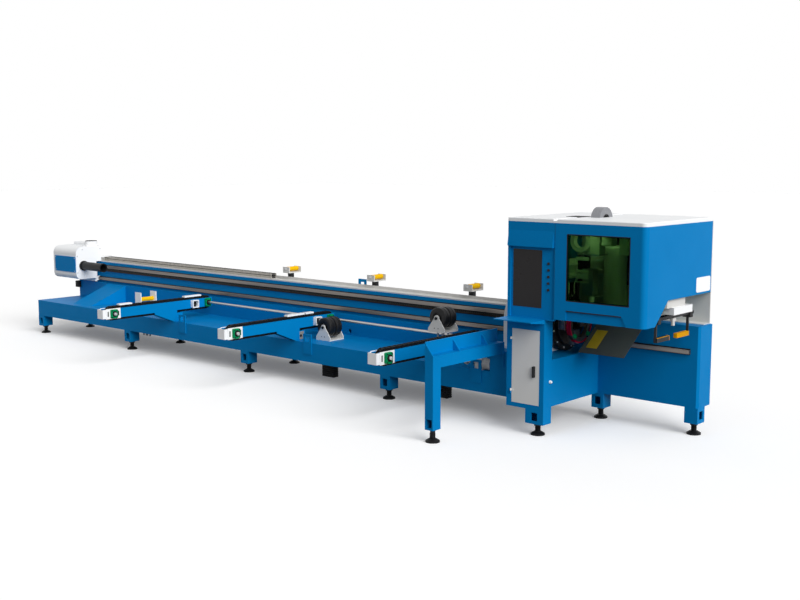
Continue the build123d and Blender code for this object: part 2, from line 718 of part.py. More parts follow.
def levelling_feet():
    """Turned pad with its shank, and a bolt that runs up into the leg."""
    front, back, gate, console = foot_places()
    feet = []
    for x, y, low in front + back + [gate, console]:
        outline = [(0, 0), (PAD_RADIUS, 0), (PAD_RADIUS, PAD_RIM), (PAD_NECK, PAD_HEIGHT),
                   (SHANK_RADIUS, PAD_HEIGHT), (SHANK_RADIUS, low), (BOLT_RADIUS, low),
                   (BOLT_RADIUS, low + BOLT_END), (0, low + BOLT_END)]
        feet.append(Pos(x, y, 0) * turned(outline))
    return feet


def guide_rails():
    """Two grooved steel rails bolted to the front of the bed."""
    half = RAIL_HEIGHT / 2
    waist = half - RAIL_GROOVE
    rails = []
    for z, end in ((UPPER_RAIL_Z, BED_LENGTH - UPPER_RAIL_SETBACK),
                   (LOWER_RAIL_Z, BED_LENGTH - LOWER_RAIL_SETBACK)):
        outline = [(0, z - half), (0, z + half), (-RAIL_HEAD, z + half), (-RAIL_DEPTH / 2, z + waist),
                   (-RAIL_DEPTH + RAIL_HEAD, z + half), (-RAIL_DEPTH, z + half),
                   (-RAIL_DEPTH, z - half), (-RAIL_DEPTH + RAIL_HEAD, z - half),
                   (-RAIL_DEPTH / 2, z - waist), (-RAIL_HEAD, z - half)]
        rails.append(prism_x(outline, 0, end))
    return rails


def gear_rack():
    """Bar of the gear rack, under the upper rail."""
    top = UPPER_RAIL_Z - RAIL_HEIGHT / 2 - RACK_GAP
    return block(0, BED_LENGTH - UPPER_RAIL_SETBACK, -RACK_DEPTH, 0, top - RACK_HEIGHT, top)


# Cable trough and drag chain


def cable_trough():
    """Floor sheet on the bed with a low front lip and a higher back strip standing on it."""
    front, back, end = TROUGH_FRONT, TROUGH_FRONT + TROUGH_DEPTH, BED_LENGTH - TROUGH_SETBACK
    floor = BED_TOP + TROUGH_SHEET
    return [block(0, end, front, back, BED_TOP, floor),
            block(0, end, front, front + TROUGH_SHEET, floor, BED_TOP + TROUGH_LIP),
            block(0, end, back - TROUGH_SHEET, back, floor, BED_TOP + TROUGH_BACK_HEIGHT)]


def chain_seat():
    """Front, back, lower and upper faces (y0, y1, z0, z1) of the drag chain in its trough."""
    back = TROUGH_FRONT + TROUGH_DEPTH - TROUGH_SHEET - CHAIN_BACK_GAP
    low = BED_TOP + TROUGH_SHEET
    return back - CHAIN_DEPTH, back, low, low + CHAIN_HEIGHT


def drag_chain():
    """Row of links from the carriage to the fixed end, notched between the links."""
    y0, y1, z0, z1 = chain_seat()
    start, end = HOUSING_RIGHT - CHAIN_ARM_LENGTH, CHAIN_FIXED_SHARE * BED_LENGTH
    count = round((end - start) / CHAIN_PITCH)
    pitch = (end - start) / count
    points = [(start, z0), (end, z0), (end, z1)]
    half, low = CHAIN_NOTCH / 2, z1 - CHAIN_NOTCH
    for index in range(count - 1, 0, -1):
        x = start + index * pitch
        points += [(x + half, z1), (x + half, low), (x - half, low), (x - half, z1)]
    points.append((start, z1))
    return prism_y(points, y0, y1)


# Rear chuck carriage


def carriage_plate():
    """Plate with four bearing blocks around the rails and the arm that pulls the drag chain."""
    middle = (HOUSING_LEFT + HOUSING_RIGHT) / 2
    left, right = middle - PLATE_LENGTH / 2, middle + PLATE_LENGTH / 2
    plate = block(left, right, -PLATE_STANDOFF - PLATE_THICKNESS, -PLATE_STANDOFF,
                  LOWER_RAIL_Z - PLATE_UNDER, UPPER_RAIL_Z + PLATE_OVER)
    slot = RAIL_HEIGHT / 2 + SLIDE_GAP
    for z in (LOWER_RAIL_Z, UPPER_RAIL_Z):
        for x in (left, right - BLOCK_LENGTH):
            grip = block(x, x + BLOCK_LENGTH, -PLATE_STANDOFF, -BLOCK_BACK_GAP,
                         z - BLOCK_HEIGHT / 2, z + BLOCK_HEIGHT / 2)
            grip -= block(x - CUT_OVERRUN, x + BLOCK_LENGTH + CUT_OVERRUN, -RAIL_DEPTH - SLIDE_GAP, 0,
                          z - slot, z + slot)
            plate += grip
    y0, y1, z0, z1 = chain_seat()
    arm = block(HOUSING_RIGHT - CHAIN_ARM_LENGTH, HOUSING_RIGHT, 0, y1, z1, z1 + CHAIN_ARM_PLATE)
    return [plate, arm]


def carriage_outline(inset):
    """Rounded end view of the carriage housing, drawn in by the inset."""
    front, back = HOUSING_FRONT + inset, -inset
    low, high = AXIS_Z - HOUSING_DROP + inset, AXIS_Z + HOUSING_RISE - inset
    face = Pos((front + back) / 2, (low + high) / 2) * Rectangle(back - front, high - low)
    ends = face.vertices().group_by(Axis.X)
    face = fillet(ends[0].sort_by(Axis.Y)[-1], HOUSING_TOP_ROUND - inset)
    face = fillet(face.vertices().sort_by_distance((front, low))[0], HOUSING_LOW_ROUND - inset)
    back_round = max(HOUSING_BACK_ROUND - inset, RUN_FIT)
    face = fillet(face.vertices().sort_by_distance((back, high))[0], back_round)
    depth = PLATE_STANDOFF + PLATE_THICKNESS + inset
    top = BED_TOP + HOUSING_NOTCH_RISE + inset
    notch = Rectangle(depth + CUT_OVERRUN, top - low + CUT_OVERRUN, align=(Align.MIN, Align.MAX))
    return face - Pos(-depth, top) * notch


def carriage_housing():
    """Moulded cover with the motor hump and the duct collar on top and the spindle hole in its end."""
    wall = HOUSING_WALL
    shell = extrude(Plane.YZ.offset(HOUSING_LEFT) * carriage_outline(0), amount=HOUSING_LENGTH)
    shell -= extrude(Plane.YZ.offset(HOUSING_LEFT + wall) * carriage_outline(wall),
                     amount=HOUSING_LENGTH - wall - wall)
    shell -= rod_x(SPINDLE_RADIUS + RUN_FIT, HOUSING_RIGHT - wall - CUT_OVERRUN,
                   HOUSING_RIGHT + CUT_OVERRUN, AXIS_Y, AXIS_Z)
    top = AXIS_Z + HOUSING_RISE
    hump_left = HOUSING_LEFT + HUMP_LEFT_GAP
    hump_back = -HOUSING_BACK_ROUND
    hump = block(hump_left, hump_left + HUMP_LENGTH, hump_back - HUMP_DEPTH, hump_back,
                 top, top + HUMP_HEIGHT)
    hump = fillet(hump.edges().group_by(Axis.Z)[-1] + hump.edges().filter_by(Axis.Z), HUMP_ROUND)
    duct_x = HOUSING_RIGHT - DUCT_RIGHT_GAP
    duct_y = -DUCT_RADIUS - DUCT_WALL
    duct = rod_z(DUCT_RADIUS, top, top + DUCT_HEIGHT, duct_x, duct_y)
    duct -= rod_z(DUCT_RADIUS - DUCT_WALL, top, top + DUCT_HEIGHT + CUT_OVERRUN, duct_x, duct_y)
    return shell + hump + duct


def carriage_side_cover():
    """Raised panel on the front of the housing."""
    right = HOUSING_LEFT + HOUSING_LENGTH - DUCT_WALL - SIDE_COVER_PROUD
    low = AXIS_Z - HOUSING_DROP + SIDE_COVER_LIFT
    panel = block(right - SIDE_COVER_LENGTH, right, HOUSING_FRONT - SIDE_COVER_PROUD, HOUSING_FRONT,
                  low, low + SIDE_COVER_HEIGHT)
    return fillet(panel.edges().filter_by(Axis.Y), SIDE_COVER_ROUND)


def rear_spindle():
    """Turning spindle with its flange and an open nose that takes the end of the tube."""
    end = HOUSING_RIGHT + SPINDLE_NOSE
    spindle = rod_x(SPINDLE_RADIUS, HOUSING_RIGHT - SPINDLE_TAIL, end, AXIS_Y, AXIS_Z)
    spindle += rod_x(FLANGE_RADIUS, HOUSING_RIGHT + SLIDE_GAP, HOUSING_RIGHT + FLANGE_LENGTH, AXIS_Y, AXIS_Z)
    spindle += rod_x(NOSE_LIP_RADIUS, end - NOSE_LIP, end, AXIS_Y, AXIS_Z)
    return spindle - rod_x(SPINDLE_BORE, end - SPINDLE_BORE_DEPTH, end + CUT_OVERRUN, AXIS_Y, AXIS_Z)


# Chain loader


def loader_beams():
    """Three box arms, slotted at both ends for the sprockets, each with a stub tube on its right side."""
    half = ARM_WIDTH / 2
    slot = LINK_WIDTH / 2 + CHAIN_SLOT_SIDE
    arms = []
    for x in loader_places(ARM_SHARES):
        arm = block(x - half, x + half, ARM_FRONT, ARM_BACK, ARM_BOTTOM, ARM_TOP)
        arm -= block(x - half + ARM_WALL, x + half - ARM_WALL, ARM_FRONT - CUT_OVERRUN,
                     ARM_BACK + CUT_OVERRUN, ARM_BOTTOM + ARM_WALL, ARM_TOP - ARM_WALL)
        for y0, y1 in ((ARM_FRONT - CUT_OVERRUN, FRONT_SPROCKET_Y + CHAIN_SLOT_REACH),
                       (REAR_SPROCKET_Y - CHAIN_SLOT_REACH, ARM_BACK + CUT_OVERRUN)):
            arm -= block(x - slot, x + slot, y0, y1, ARM_BOTTOM - CUT_OVERRUN, ARM_TOP + CUT_OVERRUN)
        for y in (FRONT_SPROCKET_Y, REAR_SPROCKET_Y):
            arm -= rod_x(SHAFT_RADIUS + SHAFT_HOLE_GAP, x - half - CUT_OVERRUN, x + half + CUT_OVERRUN,
                         y, ARM_Z)
        stub = block(x + half, x + half + STUB_REACH, STUB_Y, STUB_Y + STUB_SIZE,
                     ARM_Z - STUB_SIZE / 2, ARM_Z + STUB_SIZE / 2)
        stub -= block(x + half, x + half + STUB_REACH + CUT_OVERRUN, STUB_Y + STUB_WALL,
                      STUB_Y + STUB_SIZE - STUB_WALL, ARM_Z - STUB_SIZE / 2 + STUB_WALL,
                      ARM_Z + STUB_SIZE / 2 - STUB_WALL)
        arms += [arm, stub]
    return arms


def stadium(radius):
    """Flat ring outline of the given radius around both sprocket axes, in (y, z)."""
    length = REAR_SPROCKET_Y - FRONT_SPROCKET_Y
    middle = (REAR_SPROCKET_Y + FRONT_SPROCKET_Y) / 2
    body = Rectangle(length, 2 * radius)
    body += Pos(-length / 2, 0) * Circle(radius)
    body += Pos(length / 2, 0) * Circle(radius)
    return Pos(middle, ARM_Z) * body


def loader_chains():
    """Chain loop of each arm, notched between its links on both straight runs."""
    inner = SPROCKET_RADIUS + SLIDE_GAP
    outer = inner + LINK_THICKNESS
    count = int((REAR_SPROCKET_Y - FRONT_SPROCKET_Y) / LINK_PITCH)
    pitch = (REAR_SPROCKET_Y - FRONT_SPROCKET_Y) / count
    ring = stadium(outer) - stadium(inner)
    for index in range(count + 1):
        y = FRONT_SPROCKET_Y + index * pitch
        for z in (ARM_Z + outer, ARM_Z - outer):
            ring -= Pos(y, z) * Rectangle(LINK_NOTCH, 2 * LINK_NOTCH)
    loop = extrude(Plane.YZ * ring, amount=LINK_WIDTH)
    return [Pos(x - LINK_WIDTH / 2, 0, 0) * loop for x in loader_places(ARM_SHARES)]


def loader_end_plates():
    """White end caps, take-up plates and the carrying pads on the chains."""
    half = ARM_WIDTH / 2
    chain_top = ARM_Z + SPROCKET_RADIUS + SLIDE_GAP + LINK_THICKNESS
    run = REAR_SPROCKET_Y - FRONT_SPROCKET_Y
    pieces = []
    for x, pads in zip(loader_places(ARM_SHARES), PAD_START_LENGTH_SHARES):
        low, high = ARM_Z - CAP_HEIGHT / 2, ARM_Z + CAP_HEIGHT / 2
        cap = block(x - half, x + half, ARM_FRONT - CAP_LENGTH, ARM_FRONT, low, high)
        cap -= block(x - half + CAP_SHEET, x + half - CAP_SHEET, ARM_FRONT - CAP_LENGTH + CAP_SHEET,
                     ARM_FRONT + CUT_OVERRUN, low - CUT_OVERRUN, high + CUT_OVERRUN)
        pieces.append(cap)
        for inner, outer in ((x + half, x + half + TAKEUP_PLATE), (x - half - TAKEUP_PLATE, x - half)):
            plate = block(inner, outer, FRONT_SPROCKET_Y - TAKEUP_LENGTH / 2,
                          FRONT_SPROCKET_Y + TAKEUP_LENGTH / 2, ARM_Z - TAKEUP_HEIGHT / 2,
                          ARM_Z + TAKEUP_HEIGHT / 2)
            hole = rod_x(SHAFT_RADIUS + SHAFT_HOLE_GAP, inner - CUT_OVERRUN, outer + CUT_OVERRUN,
                         FRONT_SPROCKET_Y, ARM_Z)
            pieces.append(plate - hole)
        for start_share, length_share in pads:
            start = FRONT_SPROCKET_Y + start_share * run
            pieces.append(block(x - LINK_WIDTH / 2, x + LINK_WIDTH / 2, start, start + length_share * run,
                                chain_top, chain_top + PAD_THICKNESS))
    return pieces


def bearing_blocks():
    """Bearing housings of both sprocket shafts, on either side of each arm."""
    blocks = []
    for x in loader_places(ARM_SHARES):
        for y, packing in ((FRONT_SPROCKET_Y, TAKEUP_PLATE), (REAR_SPROCKET_Y, 0)):
            inner = ARM_WIDTH / 2 + packing
            for x0 in (x + inner, x - inner - BEARING_WIDTH):
                housing = block(x0, x0 + BEARING_WIDTH, y - BEARING_LENGTH / 2, y + BEARING_LENGTH / 2,
                                ARM_Z - BEARING_HEIGHT / 2, ARM_Z + BEARING_HEIGHT / 2)
                housing = fillet(housing.edges().filter_by(Axis.X), BEARING_ROUND)
                blocks.append(housing - rod_x(SHAFT_RADIUS + RUN_FIT, x0 - CUT_OVERRUN,
                                              x0 + BEARING_WIDTH + CUT_OVERRUN, y, ARM_Z))
    return blocks


def sprocket(x, y):
    """Toothed wheel inside one end of a chain loop, bored for its shaft."""
    root = SPROCKET_RADIUS - SPROCKET_TOOTH
    points = []
    for index in range(SPROCKET_TEETH):
        for step_share, radius in ((0.0, root), (0.3, root), (0.5, SPROCKET_RADIUS), (0.8, SPROCKET_RADIUS)):
            angle = radians(360 * (index + step_share) / SPROCKET_TEETH)
            points.append((y + radius * cos(angle), ARM_Z + radius * sin(angle)))
    left, right = x - SPROCKET_WIDTH / 2, x + SPROCKET_WIDTH / 2
    bore = rod_x(SHAFT_RADIUS + RUN_FIT, left - CUT_OVERRUN, right + CUT_OVERRUN, y, ARM_Z)
    return prism_x(points, left, right) - bore


def drive_shaft():
    """Common shaft through the rear bearings, with one sprocket in each arm."""
    arms = loader_places(ARM_SHARES)
    shaft = rod_x(SHAFT_RADIUS, arms[0] - SHAFT_LEFT_OVERHANG, arms[-1] + SHAFT_RIGHT_OVERHANG,
                  REAR_SPROCKET_Y, ARM_Z)
    return [shaft] + [sprocket(x, REAR_SPROCKET_Y) for x in arms]


def front_sprockets():
    """Idler sprockets on short shafts at the front of the arms."""
    reach = ARM_WIDTH / 2 + TAKEUP_PLATE + BEARING_WIDTH
    wheels = []
    for x in loader_places(ARM_SHARES):
        shaft = rod_x(SHAFT_RADIUS, x - reach, x + reach, FRONT_SPROCKET_Y, ARM_Z)
        wheels += [shaft, sprocket(x, FRONT_SPROCKET_Y)]
    return wheels


def gear_motor():
    """Gearbox on the front beam with its motor, and a shaft with two collars to the last arm's bracket."""
    bracket = loader_places(ARM_SHARES)[-1] + ARM_WIDTH / 2
    right = PEDESTAL_LEFT - MOTOR_END_GAP - MOTOR_LENGTH
    left = right - GEARBOX_LENGTH
    y = -BASE_DEPTH + FRONT_BEAM_DEPTH / 2
    z = BASE_TOP + GEARBOX_HEIGHT / 2
    motor = block(left, right, y - GEARBOX_DEPTH / 2, y + GEARBOX_DEPTH / 2,
                  BASE_TOP, BASE_TOP + GEARBOX_HEIGHT)
    motor += rod_x(MOTOR_RADIUS, right, right + MOTOR_LENGTH, y, z)
    motor += rod_x(MOTOR_SHAFT_RADIUS, bracket, left, y, z)
    for gap in COLLAR_GAPS:
        motor += rod_x(COLLAR_RADIUS, left - gap - COLLAR_LENGTH, left - gap, y, z)
    return motor


# Lifting supports


def lift_guides():
    """Guide block of each lift, bolted under the deck, longer under the wheels than under the roller."""
    guides = []
    top = BASE_TOP - DECK_THICKNESS
    for x, height in zip(lift_places(), (WHEEL_GUIDE_HEIGHT, WHEEL_GUIDE_HEIGHT, ROLLER_GUIDE_HEIGHT)):
        guide = block(x - GUIDE_LENGTH / 2, x + GUIDE_LENGTH / 2, SUPPORT_Y - GUIDE_DEPTH / 2,
                      SUPPORT_Y + GUIDE_DEPTH / 2, top - height, top)
        for offset_x, radius in rod_offsets():
            guide -= rod_z(radius + RUN_FIT, top - height - CUT_OVERRUN, top + CUT_OVERRUN,
                           x + offset_x, SUPPORT_Y)
        guides.append(guide)
    return guides


def lift_rods(x, top):
    """Two guide rods and the piston rod under a lift's base plate."""
    return [rod_z(radius, top - ROD_LENGTH, top, x + offset_x, SUPPORT_Y)
            for offset_x, radius in rod_offsets()]


def wheel_span():
    """Half length along y of the twin wheel between its ears."""
    return WHEEL_WIDTH + WHEEL_GAP / 2


def wheel_bracket(x, lift):
    """Base plate with two ears, the axle between them and the lift rods."""
    low = BASE_TOP + SLIDE_GAP + lift
    axle_z = low + AXLE_RISE
    inner = wheel_span() + EAR_GAP
    outer = inner + EAR_THICKNESS
    half = LIFT_WIDTH / 2
    bracket = block(x - half, x + half, SUPPORT_Y - outer, SUPPORT_Y + outer, low, low + LIFT_PLATE)
    outline = [(x - half, low), (x + half, low), (x + half, low + EAR_SHOULDER),
               (x + EAR_TOP_RADIUS, axle_z), (x - EAR_TOP_RADIUS, axle_z), (x - half, low + EAR_SHOULDER)]
    for y in (SUPPORT_Y - outer, SUPPORT_Y + inner):
        bracket += prism_y(outline, y, y + EAR_THICKNESS)
        bracket += rod_y(EAR_TOP_RADIUS, y, y + EAR_THICKNESS, x, axle_z)
    bracket += rod_y(AXLE_RADIUS, SUPPORT_Y - inner, SUPPORT_Y + inner, x, axle_z)
    return bracket + lift_rods(x, low)


def twin_wheel(x, lift):
    """Two rubber-tyred discs on one hub that turns on the bracket's axle."""
    z = BASE_TOP + SLIDE_GAP + lift + AXLE_RISE
    half, gap = wheel_span(), WHEEL_GAP / 2
    bore, tyre = AXLE_RADIUS + RUN_FIT, WHEEL_RADIUS - WHEEL_ROUND
    outline = [(bore, -half), (WHEEL_HUB / 2, -half), (WHEEL_HUB, -half + WHEEL_DISH),
               (tyre - WHEEL_DISH, -half + WHEEL_DISH), (tyre, -half), (WHEEL_RADIUS, -half + WHEEL_ROUND),
               (WHEEL_RADIUS, -gap - WHEEL_ROUND), (tyre, -gap), (WHEEL_HUB, -gap)]
    outline += [(radius, -y) for radius, y in reversed(outline)]
    return Pos(x, SUPPORT_Y, z) * Rot(-90, 0, 0) * turned(outline)


def roller_lift_frame():
    """Fork of two upright plates with the roller's axle between them, on the same lift rods."""
    x = FORK_SHARE * PEDESTAL_LEFT
    low = BASE_TOP + SLIDE_GAP
    half, reach = FORK_WIDTH / 2, FORK_DEPTH / 2
    base = max(half, ROD_SPREAD + ROD_RADIUS)
    frame = block(x - base, x + base, SUPPORT_Y - reach, SUPPORT_Y + reach, low, low + LIFT_PLATE)
    for y in (SUPPORT_Y - reach, SUPPORT_Y + reach - FORK_PLATE):
        frame += block(x - half, x + half, y, y + FORK_PLATE, low, low + FORK_HEIGHT)
    frame += rod_y(ROLLER_AXLE, SUPPORT_Y - reach, SUPPORT_Y + reach, x, low + FORK_ROLLER_RISE)
    return frame + lift_rods(x, low)


def roller(x, y0, y1, z):
    """Roller with a bore for its axle."""
    return rod_y(ROLLER_RADIUS, y0, y1, x, z) - rod_y(ROLLER_AXLE + RUN_FIT, y0 - CUT_OVERRUN,
                                                      y1 + CUT_OVERRUN, x, z)


def lift_roller():
    """Roller of the roller lift."""
    reach = FORK_DEPTH / 2 - FORK_PLATE - STAND_ROLLER_GAP
    return roller(FORK_SHARE * PEDESTAL_LEFT, SUPPORT_Y - reach, SUPPORT_Y + reach,
                  BASE_TOP + SLIDE_GAP + FORK_ROLLER_RISE)


# Roller stands behind the bed


def rear_stand_posts():
    """Upright of each stand at the back edge of the bed's top."""
    return [block(x - POST_WIDTH / 2, x + POST_WIDTH / 2, BED_DEPTH - POST_DEPTH, BED_DEPTH,
                  BED_TOP, BED_TOP + POST_HEIGHT) for x in places(STAND_SHARES)]


def rear_stand_forks():
    """Folded fork on each post with the roller's axle."""
    low = BED_TOP + POST_HEIGHT
    half = STAND_WIDTH / 2
    back = STAND_FRONT + STAND_DEPTH
    forks = []
    for x in places(STAND_SHARES):
        fork = block(x - half, x + half, STAND_FRONT, back, low, low + STAND_PLATE)
        for y in (STAND_FRONT, back - STAND_PLATE):
            fork += block(x - half, x + half, y, y + STAND_PLATE, low, low + STAND_HEIGHT)
        forks.append(fork + rod_y(ROLLER_AXLE, STAND_FRONT, back, x, low + STAND_PLATE + STAND_ROLLER_RISE))
    return forks


def rear_roller(x):
    """Roller of one rear stand."""
    side = STAND_PLATE + STAND_ROLLER_GAP
    return roller(x, STAND_FRONT + side, STAND_FRONT + STAND_DEPTH - side,
                  BED_TOP + POST_HEIGHT + STAND_PLATE + STAND_ROLLER_RISE)


# End gate


def end_gate():
    """Leg, cross beam, stop plate with ribs, and the flange bolted to the pedestal."""
    left, right = GATE_LEFT, GATE_LEFT + GATE_WIDTH
    low = GATE_BEAM_TOP - GATE_BEAM_HEIGHT
    leg_back = GATE_FRONT + GATE_LEG_DEPTH
    gate = block(left, right, GATE_FRONT, -BASE_DEPTH, low, GATE_BEAM_TOP)
    gate -= block(left + GATE_WALL, right - GATE_WALL, GATE_FRONT + GATE_WALL, -BASE_DEPTH - GATE_WALL,
                  low + GATE_WALL, GATE_BEAM_TOP - GATE_WALL)
    post = tube_box(left, right, GATE_FRONT, leg_back, GATE_LEG_BOTTOM, low, GATE_WALL)
    middle = (left + right) / 2
    window = (GATE_WIDTH - LEG_WINDOW_WIDTH) / 2
    window_low = GATE_LEG_BOTTOM + GATE_WALL + LEG_WALL
    post -= block(left + window, right - window, GATE_FRONT - CUT_OVERRUN,
                  GATE_FRONT + GATE_WALL + CUT_OVERRUN, window_low, window_low + LEG_WINDOW_HEIGHT)
    post -= rod_z(BOLT_RADIUS + SLIDE_GAP, GATE_LEG_BOTTOM - CUT_OVERRUN,
                  GATE_LEG_BOTTOM + GATE_WALL + CUT_OVERRUN, middle, GATE_FRONT + GATE_LEG_DEPTH / 2)
    gate += post
    gate += block(left, right, -BASE_DEPTH - GATE_WALL, -BASE_DEPTH, low - GATE_FLANGE_DROP, low)
    top = GATE_BEAM_TOP + GATE_STOP_HEIGHT
    gate += block(left, left + GATE_WALL, GATE_FRONT, -BASE_DEPTH, GATE_BEAM_TOP, top)
    outline = [(left + GATE_WALL, GATE_BEAM_TOP), (right, GATE_BEAM_TOP),
               (left + GATE_WALL, top - GATE_RIB_DROP)]
    for share in GATE_RIB_SHARES:
        y = GATE_FRONT + share * (-BASE_DEPTH - GATE_FRONT)
        gate += prism_y(outline, y, y + GATE_WALL)
    return gate


# Front chuck


def front_chuck_housing():
    """Fixed round-topped housing on a foot plate, bored for the rotor's sleeve."""
    right = CHUCK_FACE - ROTOR_LENGTH - ROTOR_GAP
    left = right - CHUCK_HOUSING_LENGTH
    radius = CHUCK_HOUSING_RADIUS
    housing = rod_x(radius, left, right, AXIS_Y, AXIS_Z)
    housing += block(left, right, AXIS_Y - radius, AXIS_Y + radius, PEDESTAL_TOP + CHUCK_FOOT_HEIGHT, AXIS_Z)
    housing += block(left - CHUCK_FOOT_SIDE, right, AXIS_Y - radius - CHUCK_FOOT_SIDE, AXIS_Y + radius,
                     PEDESTAL_TOP, PEDESTAL_TOP + CHUCK_FOOT_HEIGHT)
    return housing - rod_x(ROTOR_SLEEVE + RUN_FIT, left - CUT_OVERRUN, right + CUT_OVERRUN, AXIS_Y, AXIS_Z)


def front_chuck_rotor():
    """Chuck disc with a stepped face, and its sleeve through the housing."""
    back = CHUCK_FACE - ROTOR_LENGTH
    left = back - ROTOR_GAP - CHUCK_HOUSING_LENGTH
    disc = rod_x(ROTOR_RADIUS, back, CHUCK_FACE - ROTOR_STEP_LENGTH, AXIS_Y, AXIS_Z)
    disc += rod_x(ROTOR_STEP, CHUCK_FACE - ROTOR_STEP_LENGTH, CHUCK_FACE, AXIS_Y, AXIS_Z)
    sleeve = rod_x(ROTOR_SLEEVE, left, back, AXIS_Y, AXIS_Z)
    bore = rod_x(ROTOR_BORE, left - CUT_OVERRUN, CHUCK_FACE + CUT_OVERRUN, AXIS_Y, AXIS_Z)
    return [disc - bore, sleeve - bore]


def front_jaws():
    """Four stepped jaws on the face of the rotor."""
    half = JAW_WIDTH / 2
    jaw = block(0, JAW_LENGTH, -half, half, ROTOR_BORE, JAW_OUTER)
    jaw += block(JAW_STEP, JAW_LENGTH, -half, half, JAW_INNER, ROTOR_BORE)
    return [Pos(CHUCK_FACE, AXIS_Y, AXIS_Z) * Rot(90 * index, 0, 0) * jaw for index in range(4)]


# Cutting head


def head_beam_box():
    """Corners (x0, x1, z0, z1) of the head's cross beam."""
    left = CHUCK_FACE + JAW_LENGTH - HEAD_BEAM_OVERHANG
    low = AXIS_Z + HEAD_BEAM_RISE
    return left, left + HEAD_BEAM_WIDTH, low, low + HEAD_BEAM_HEIGHT


def head_rails():
    """Heights of the beam's two rails."""
    x0, x1, z0, z1 = head_beam_box()
    middle = (z0 + z1) / 2
    return middle - HEAD_RAIL_SPACING / 2, middle + HEAD_RAIL_SPACING / 2


def head_beam():
    """Box beam from the rear panel to the front, with two rails on its right side."""
    x0, x1, z0, z1 = head_beam_box()
    beam = tube_box(x0, x1, HEAD_BEAM_FRONT, REAR_INNER, z0, z1, HEAD_BEAM_WALL)
    for z in head_rails():
        beam += block(x1, x1 + HEAD_RAIL, HEAD_BEAM_FRONT, REAR_INNER - HEAD_RAIL,
                      z - HEAD_RAIL / 2, z + HEAD_RAIL / 2)
    return beam


def slide_face():
    """Right face (x) of the cross slide's plate."""
    return head_beam_box()[1] + HEAD_RAIL + SLIDE_GAP + SLIDE_PLATE


def slide_middle():
    """Height of the middle of the cross slide."""
    x0, x1, z0, z1 = head_beam_box()
    return (z0 + z1) / 2


def head_slide():
    """Cross slide that grips both beam rails and carries an upright rail."""
    face = slide_face()
    back = face - SLIDE_PLATE
    half, z = SLIDE_WIDTH / 2, slide_middle()
    slide = block(back, face, AXIS_Y - half, AXIS_Y + half, z - SLIDE_HEIGHT / 2, z + SLIDE_HEIGHT / 2)
    for rail in head_rails():
        near = HEAD_RAIL / 2 + SLIDE_GAP
        for low in (rail - near - SLIDE_GRIP, rail + near):
            slide += block(back - HEAD_RAIL / 2, back, AXIS_Y - half, AXIS_Y + half, low, low + SLIDE_GRIP)
    slide += block(face, face + LIFT_RAIL_DEPTH, AXIS_Y - LIFT_RAIL / 2, AXIS_Y + LIFT_RAIL / 2,
                   z - SLIDE_HEIGHT / 2, z + SLIDE_HEIGHT / 2)
    return slide


def cutting_head():
    """Head body with its guide shoe, a round barrel and a conical nozzle above the tube axis."""
    x0 = slide_face() + SLIDE_GAP
    x1 = x0 + LIFT_RAIL_DEPTH + HEAD_BACK
    x2 = x1 + HEAD_DEPTH
    tip = AXIS_Z + NOZZLE_GAP
    barrel_low = tip + NOZZLE_LENGTH
    low = barrel_low + HEAD_BARREL_LENGTH
    half = HEAD_WIDTH / 2
    head = block(x0, x2, AXIS_Y - half, AXIS_Y + half, low, low + HEAD_BODY)
    slot = LIFT_RAIL / 2 + SLIDE_GAP
    head -= block(x0 - CUT_OVERRUN, x0 + LIFT_RAIL_DEPTH, AXIS_Y - slot, AXIS_Y + slot,
                  low - CUT_OVERRUN, low + HEAD_BODY + CUT_OVERRUN)
    x = (x1 + x2) / 2
    head += rod_z(HEAD_BARREL, barrel_low, low, x, AXIS_Y)
    nozzle = turned([(0, 0), (NOZZLE_TIP, 0), (HEAD_BARREL, NOZZLE_LENGTH), (0, NOZZLE_LENGTH)])
    return head + Pos(x, AXIS_Y, tip) * nozzle


# Enclosure


def side_outline():
    """Outline (y, z) of the cabin's right side, with its sloped lower front."""
    return [(CABIN_FRONT, FRONT_BOTTOM), (SIDE_CHAMFER_FRONT, FRONT_BOTTOM), (SIDE_OPEN_FRONT, SIDE_BOTTOM),
            (REAR_INNER, SIDE_BOTTOM), (REAR_INNER, CABIN_TOP), (CABIN_FRONT, CABIN_TOP)]


def window_box():
    """Edges (x0, x1, z0, z1) of the window opening."""
    return (CABIN_LEFT + WINDOW_LEFT_GAP, CABIN_RIGHT - WINDOW_RIGHT_GAP,
            FRONT_BOTTOM + WINDOW_BOTTOM_GAP, CABIN_TOP - WINDOW_TOP_GAP)


